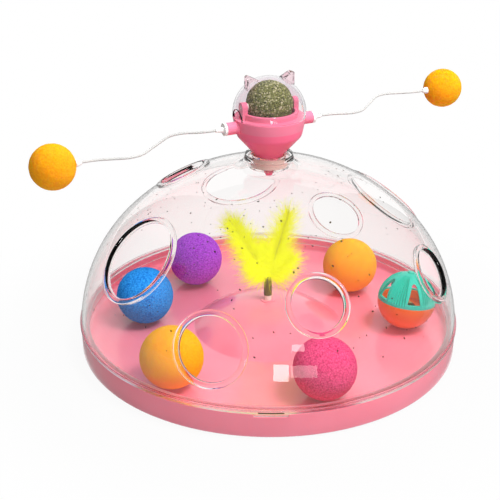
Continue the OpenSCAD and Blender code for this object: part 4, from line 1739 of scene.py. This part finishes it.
@dataclass
class BellBall:
    """The two-coloured ball with cut windows, ribbed bands and the bell inside it.

    Attributes:
        place: its middle.
        turns: its turns about Z, Y and Z in degrees.
        radius: outer radius.
        wall: its wall.
        around: points of a ring of the ribbed half.
        rows: its rings.
        top: slope of its last ring in degrees.
        windows: number of windows.
        window: half width, foot, rise and radius of the top of a window.
        grooves: number of grooves on a band, their spacing in degrees and depth.
        groove: half width of a groove against the spacing.
        band: lower and upper level of the grooves, and the length in which they run out.
        nub: radius and height of the button on top.
    """

    place: Triple = (93.3, -2.3, 25.7)
    turns: Triple = (49.0, 9.0, 9.0)
    radius: float = 19.4
    wall: float = 1.9
    around: int = 600
    rows: int = 22
    top: float = 88.0
    windows: int = 5
    window: Four = (4.6, 2.6, 10.8, 2.0)
    grooves: Triple = (7, 5.4, 1.2)
    groove: float = 0.42
    band: Triple = (2.2, 18.2, 0.8)
    nub: Pair = (2.2, 0.9)

    def dip(self, az: float, up: float) -> float:
        """Measures the grooves at a place of the ribbed half.

        Args:
            az: the direction in radians.
            up: the slope in radians.

        Returns:
            The depth in millimetres.
        """
        count, gap, depth = self.grooves
        share = 360 / self.windows
        off = (degrees(az) % share) - share / 2
        near = max(-(count - 1) / 2, min((count - 1) / 2, round(off / gap))) * gap
        line = max(0.0, 1 - abs(off - near) / (self.groove * gap))
        low, high, out = self.band
        level = self.radius * sin(up)
        return depth * line * min(1.0, max(0.0, (level - low) / out)) * min(1.0, max(0.0, (high - level) / out))

    def half(self) -> Piece:
        """Makes the half ball with its grooves.

        Returns:
            The closed half.
        """
        n, half = self.around, self.rows * self.around
        points: List[Triple] = []
        faces: List[Ids] = []
        slopes = [radians(self.top) * j / (self.rows - 1) for j in range(self.rows)]
        for inside in (False, True):
            for up in slopes:
                for az in (TAU * k / n for k in range(n)):
                    r = self.radius - (self.wall if inside else self.dip(az, up))
                    points.append((r * cos(up) * cos(az), r * cos(up) * sin(az), r * sin(up)))
        for k in range(n):
            m = (k + 1) % n
            for a in range(0, half - n, n):
                b = a + n
                faces.append((a + k, a + m, b + m, b + k))
                faces.append((half + a + m, half + a + k, half + b + k, half + b + m))
            faces.append((m, k, half + k, half + m))
        faces += [tuple(range(half - n, half)), tuple(range(2 * half - 1, 2 * half - n - 1, -1))]
        return mend(from_points("bell_upper", points, faces))

    def build(self) -> None:
        """Cuts the windows of the ribbed half, sets its button, and dresses the other half and the bell."""
        upper = self.half()
        wide, foot, rise, top = self.window
        outline = [(-wide, foot, 0), (wide, foot, 0), *arc(0, foot + rise, top, 0, 180, 12)]
        turns = shares(self.windows, -90)
        cut(upper, joined([placed(prism("window", outline, front=7.5, back=30), turn) for turn in turns]))
        smooth(upper, angle=32)
        button = rod("button", self.nub[0], self.radius - self.nub[1], self.radius + self.nub[1], edge=0.5)
        joined([upper, smooth(button)])
        upper.visible_shadow = False
        z, y, spin = self.turns
        placed(upper, at_mm(*self.place) @ turned(z, "Z") @ turned(y, "Y") @ turned(spin, "Z"))
        settle(upper, Finishes.TEAL, "ball_bell", "bell_teal", "bell_ball_upper")
        dress_nodes(Finishes.ORANGE, "bell_ball_lower")
        dress_nodes(Finishes.BRASS, "jingle_bell")
        dress_nodes(Finishes.STEEL, "bell_pellet")


# Stage


def looking(eye: Vector, target: Vector) -> Euler:
    """The turn of a lamp or camera that looks from one point at another."""
    return (target - eye).to_track_quat("-Z", "Y").to_euler()


@dataclass
class Lamp:
    """A rectangular lamp that no clear piece mirrors.

    Attributes:
        name: its name.
        place: where it hangs, in metres.
        target: where it points.
        size: its width and height in metres.
        power: its power in watts.
    """

    name: str
    place: Triple
    target: Triple
    size: Pair
    power: float

    def build(self) -> None:
        """Hangs the lamp."""
        data = bpy.data.lights.new(self.name, "AREA")
        data.shape = "RECTANGLE"
        data.size, data.size_y = self.size
        data.energy = self.power
        lamp = bpy.data.objects.new(self.name, data)
        lamp.location = self.place
        lamp.visible_glossy = lamp.visible_transmission = False
        lamp.rotation_euler = looking(Vector(self.place), Vector(self.target))
        bpy.context.scene.collection.objects.link(lamp)


@dataclass
class Studio:
    """White room of the photograph: floor, light and camera.

    Attributes:
        target: point that the camera looks at, in millimetres.
        distance: its distance in millimetres.
        elevation: its height above level in degrees.
        lens: focal length on a sensor of the next width.
        sensor: width of the sensor in millimetres.
        room: brightness of the room for the object.
        floor_half: half width of the floor and its level.
        shade: distances in metres between which the shadow on the floor runs out, and how white it is before and after.
        walls: half width, half width at the sides, front, back, foot and top of the mirrored room.
        dim: brightness of its walls, ceiling and floor.
        rim: radius of the hole in the mirrored floor, its level, number of corners and how many times wider it goes.
        windows: name, brightness and corners of each bright card.
    """

    target: Triple = (-12.0, 0.0, 61.6)
    distance: float = 672.5
    elevation: float = 25.02
    lens: float = 73.4
    sensor: float = 36.0
    room: float = 0.16
    floor_half: Pair = (4000, -0.2)
    shade: Four = (0.13, 0.24, 0.94, 1.0)
    walls: Tuple[float, ...] = (2500, 1500, -1600, 2500, 5, 2600)
    dim: Triple = (0.12, 0.2, 0.45)
    rim: Tuple[float, float, int, float] = (126.5, 0.2, 96, 12)
    windows: Tuple[Tuple[str, float, Tuple[Triple, ...]], ...] = (
        ("left", 14, ((15, -470, 97), (76, -463, 94), (75, -466, 11), (15, -473, 14))),
        ("right", 5, ((85, -465, 90), (185, -431, 73), (183, -434, 15), (84, -468, 30))),
        ("top", 9, ((86, -434, 182), (135, -422, 175), (135, -432, 146), (85, -444, 152))),
        ("side", 14, ((573, -347, 759), (617, -319, 733), (620, -339, 723), (577, -367, 749))))

    def floor(self) -> None:
        """White floor that keeps a faint shadow."""
        w, z = self.floor_half
        floor = from_points("floor", [(-w, -w, z), (w, -w, z), (w, w, z), (-w, w, z)], [(0, 1, 2, 3)])
        mat = bpy.data.materials.new("white_floor")
        mat.use_nodes = True
        nodes = Wiring(mat.node_tree)
        skin = nodes.feed(mat.node_tree.nodes["Principled BSDF"], {
            "Base Color": (0.5, 0.5, 0.5, 1), "Roughness": 1.0, "Specular IOR Level": 0.0})[0]
        away = nodes.add("VectorMath", {0: nodes.place()}, operation="LENGTH")["Value"]
        painted_sheen_and_floor_ramp = nodes.spread(away, *self.shade, interpolation_type="SMOOTHSTEP")
        part = nodes.add("Math", {0: nodes.rays(*SEEN), 1: painted_sheen_and_floor_ramp}, operation="MULTIPLY")[0]
        nodes.surface(part, skin, nodes.add("Emission", {"Strength": 1.0})[0])
        floor.data.materials.append(mat)

    def card(self, name: str, strength: float, corners: Sequence[Sequence[float]],
             faces: Sequence[Ids] = ((0, 1, 2, 3),)) -> None:
        """Hangs a card that is seen only where a piece mirrors it.

        Args:
            name: name of the card.
            strength: its brightness.
            corners: its corners in millimetres.
            faces: corners of each face.
        """
        card = from_points(name, corners, faces)
        mat = bpy.data.materials.new(name + "_light")
        mat.use_nodes = True
        tree = mat.node_tree
        tree.nodes.remove(tree.nodes["Principled BSDF"])
        nodes = Wiring(tree)
        nodes.feed(tree.nodes["Material Output"], {"Surface": nodes.add("Emission", {"Strength": strength})[0]})
        card.data.materials.append(mat)
        card.visible_camera = card.visible_diffuse = card.visible_shadow = card.visible_transmission = False

    def cards(self) -> None:
        """Hangs the dim room and the bright windows that the clear pieces mirror."""
        w, x, front, back, low, high = self.walls
        wall, ceiling, ground = self.dim
        self.card("room_front", wall, ((-w, front, low), (w, front, low), (w, front, high), (-w, front, high)))
        self.card("room_top", ceiling, ((-w, front, high), (w, front, high), (w, back, high), (-w, back, high)))
        for name, at in (("room_left", -x), ("room_right", x)):
            self.card(name, wall, ((at, front, low), (at, back, low), (at, back, high), (at, front, high)))
        r, z, n, wider = self.rim
        faces = [((i - 1) % n, i, n + i, n + (i - 1) % n) for i in range(n)]
        self.card("room_floor", ground, circle(r, z, n) + circle(r * wider, z, n), faces)
        for name, strength, corners in self.windows:
            self.card("softbox_" + name, strength, corners)

    def world(self) -> None:
        """White room: full for the eye, dimmer as light."""
        world = bpy.data.worlds.new("room")
        bpy.context.scene.world = world
        world.use_nodes = True
        nodes = Wiring(world.node_tree)
        dim = nodes.feed(world.node_tree.nodes["Background"], {"Color": WHITE, "Strength": self.room})[0]
        full = nodes.add("Background", {"Color": WHITE})[0]
        nodes.surface(nodes.rays(*SEEN), dim, full, "World Output")

    def camera(self) -> None:
        """Sets the camera of the photograph."""
        data = bpy.data.cameras.new("camera")
        data.lens, data.sensor_width, data.clip_start = self.lens, self.sensor, 0.01
        eye = bpy.data.objects.new("camera", data)
        e = radians(self.elevation)
        spot = Vector(self.target) + Vector((0, -cos(e), sin(e))) * self.distance
        eye.location = spot * MM
        eye.rotation_euler = looking(spot, Vector(self.target))
        bpy.context.scene.collection.objects.link(eye)
        bpy.context.scene.camera = eye

    def build(self) -> None:
        """Sets the stage."""
        self.floor()
        self.world()
        self.cards()
        Lamp("key", (0.42, -0.25, 0.85), (0, 0, 0.05), (0.3, 0.3), 7.2).build()
        Lamp("sky", (0.0, -0.1, 1.1), (0, 0, 0.05), (1.0, 1.0), 6.6).build()
        Lamp("front", (0.4, -1.1, 0.62), (0, 0, 0.06), (0.9, 0.5), 5.4).build()
        self.camera()
        bpy.context.scene.view_settings.view_transform = "Standard"


def main() -> None:
    """Builds every piece of the feeder and its stage."""
    logging.basicConfig(level=logging.INFO, format="%(name)s: %(message)s")
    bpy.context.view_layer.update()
    for part in (
        Tray(), Dome(), Hub(), Catnip(), Cover(), Arm(Side.RIGHT), Arm(Side.LEFT), Feather(),
        LooseBall("plush_ball_blue", "ball_blue", "plush_blue", (-83.2, 4.4), Finishes.BLUE, Pile.PLUSH),
        LooseBall("plush_ball_purple", "ball_purple", "plush_purple", (-51.8, 62.6), Finishes.PURPLE, Pile.PLUSH),
        LooseBall("plush_ball_pink", "ball_pink", "plush_pink", (32.4, -89.1), Finishes.PINK, Pile.PLUSH),
        LooseBall("bounce_ball_front", "ball_front", "ball_orange", (-59.3, -76.5), Finishes.BOUNCE, Pile.BOUNCE),
        LooseBall("bounce_ball_rear", "ball_rear", "ball_orange", (60.0, 51.8), Finishes.BOUNCE, Pile.BOUNCE),
        BellBall(), Studio(),
    ):
        part.build()


if __name__ == "__main__":
    main()
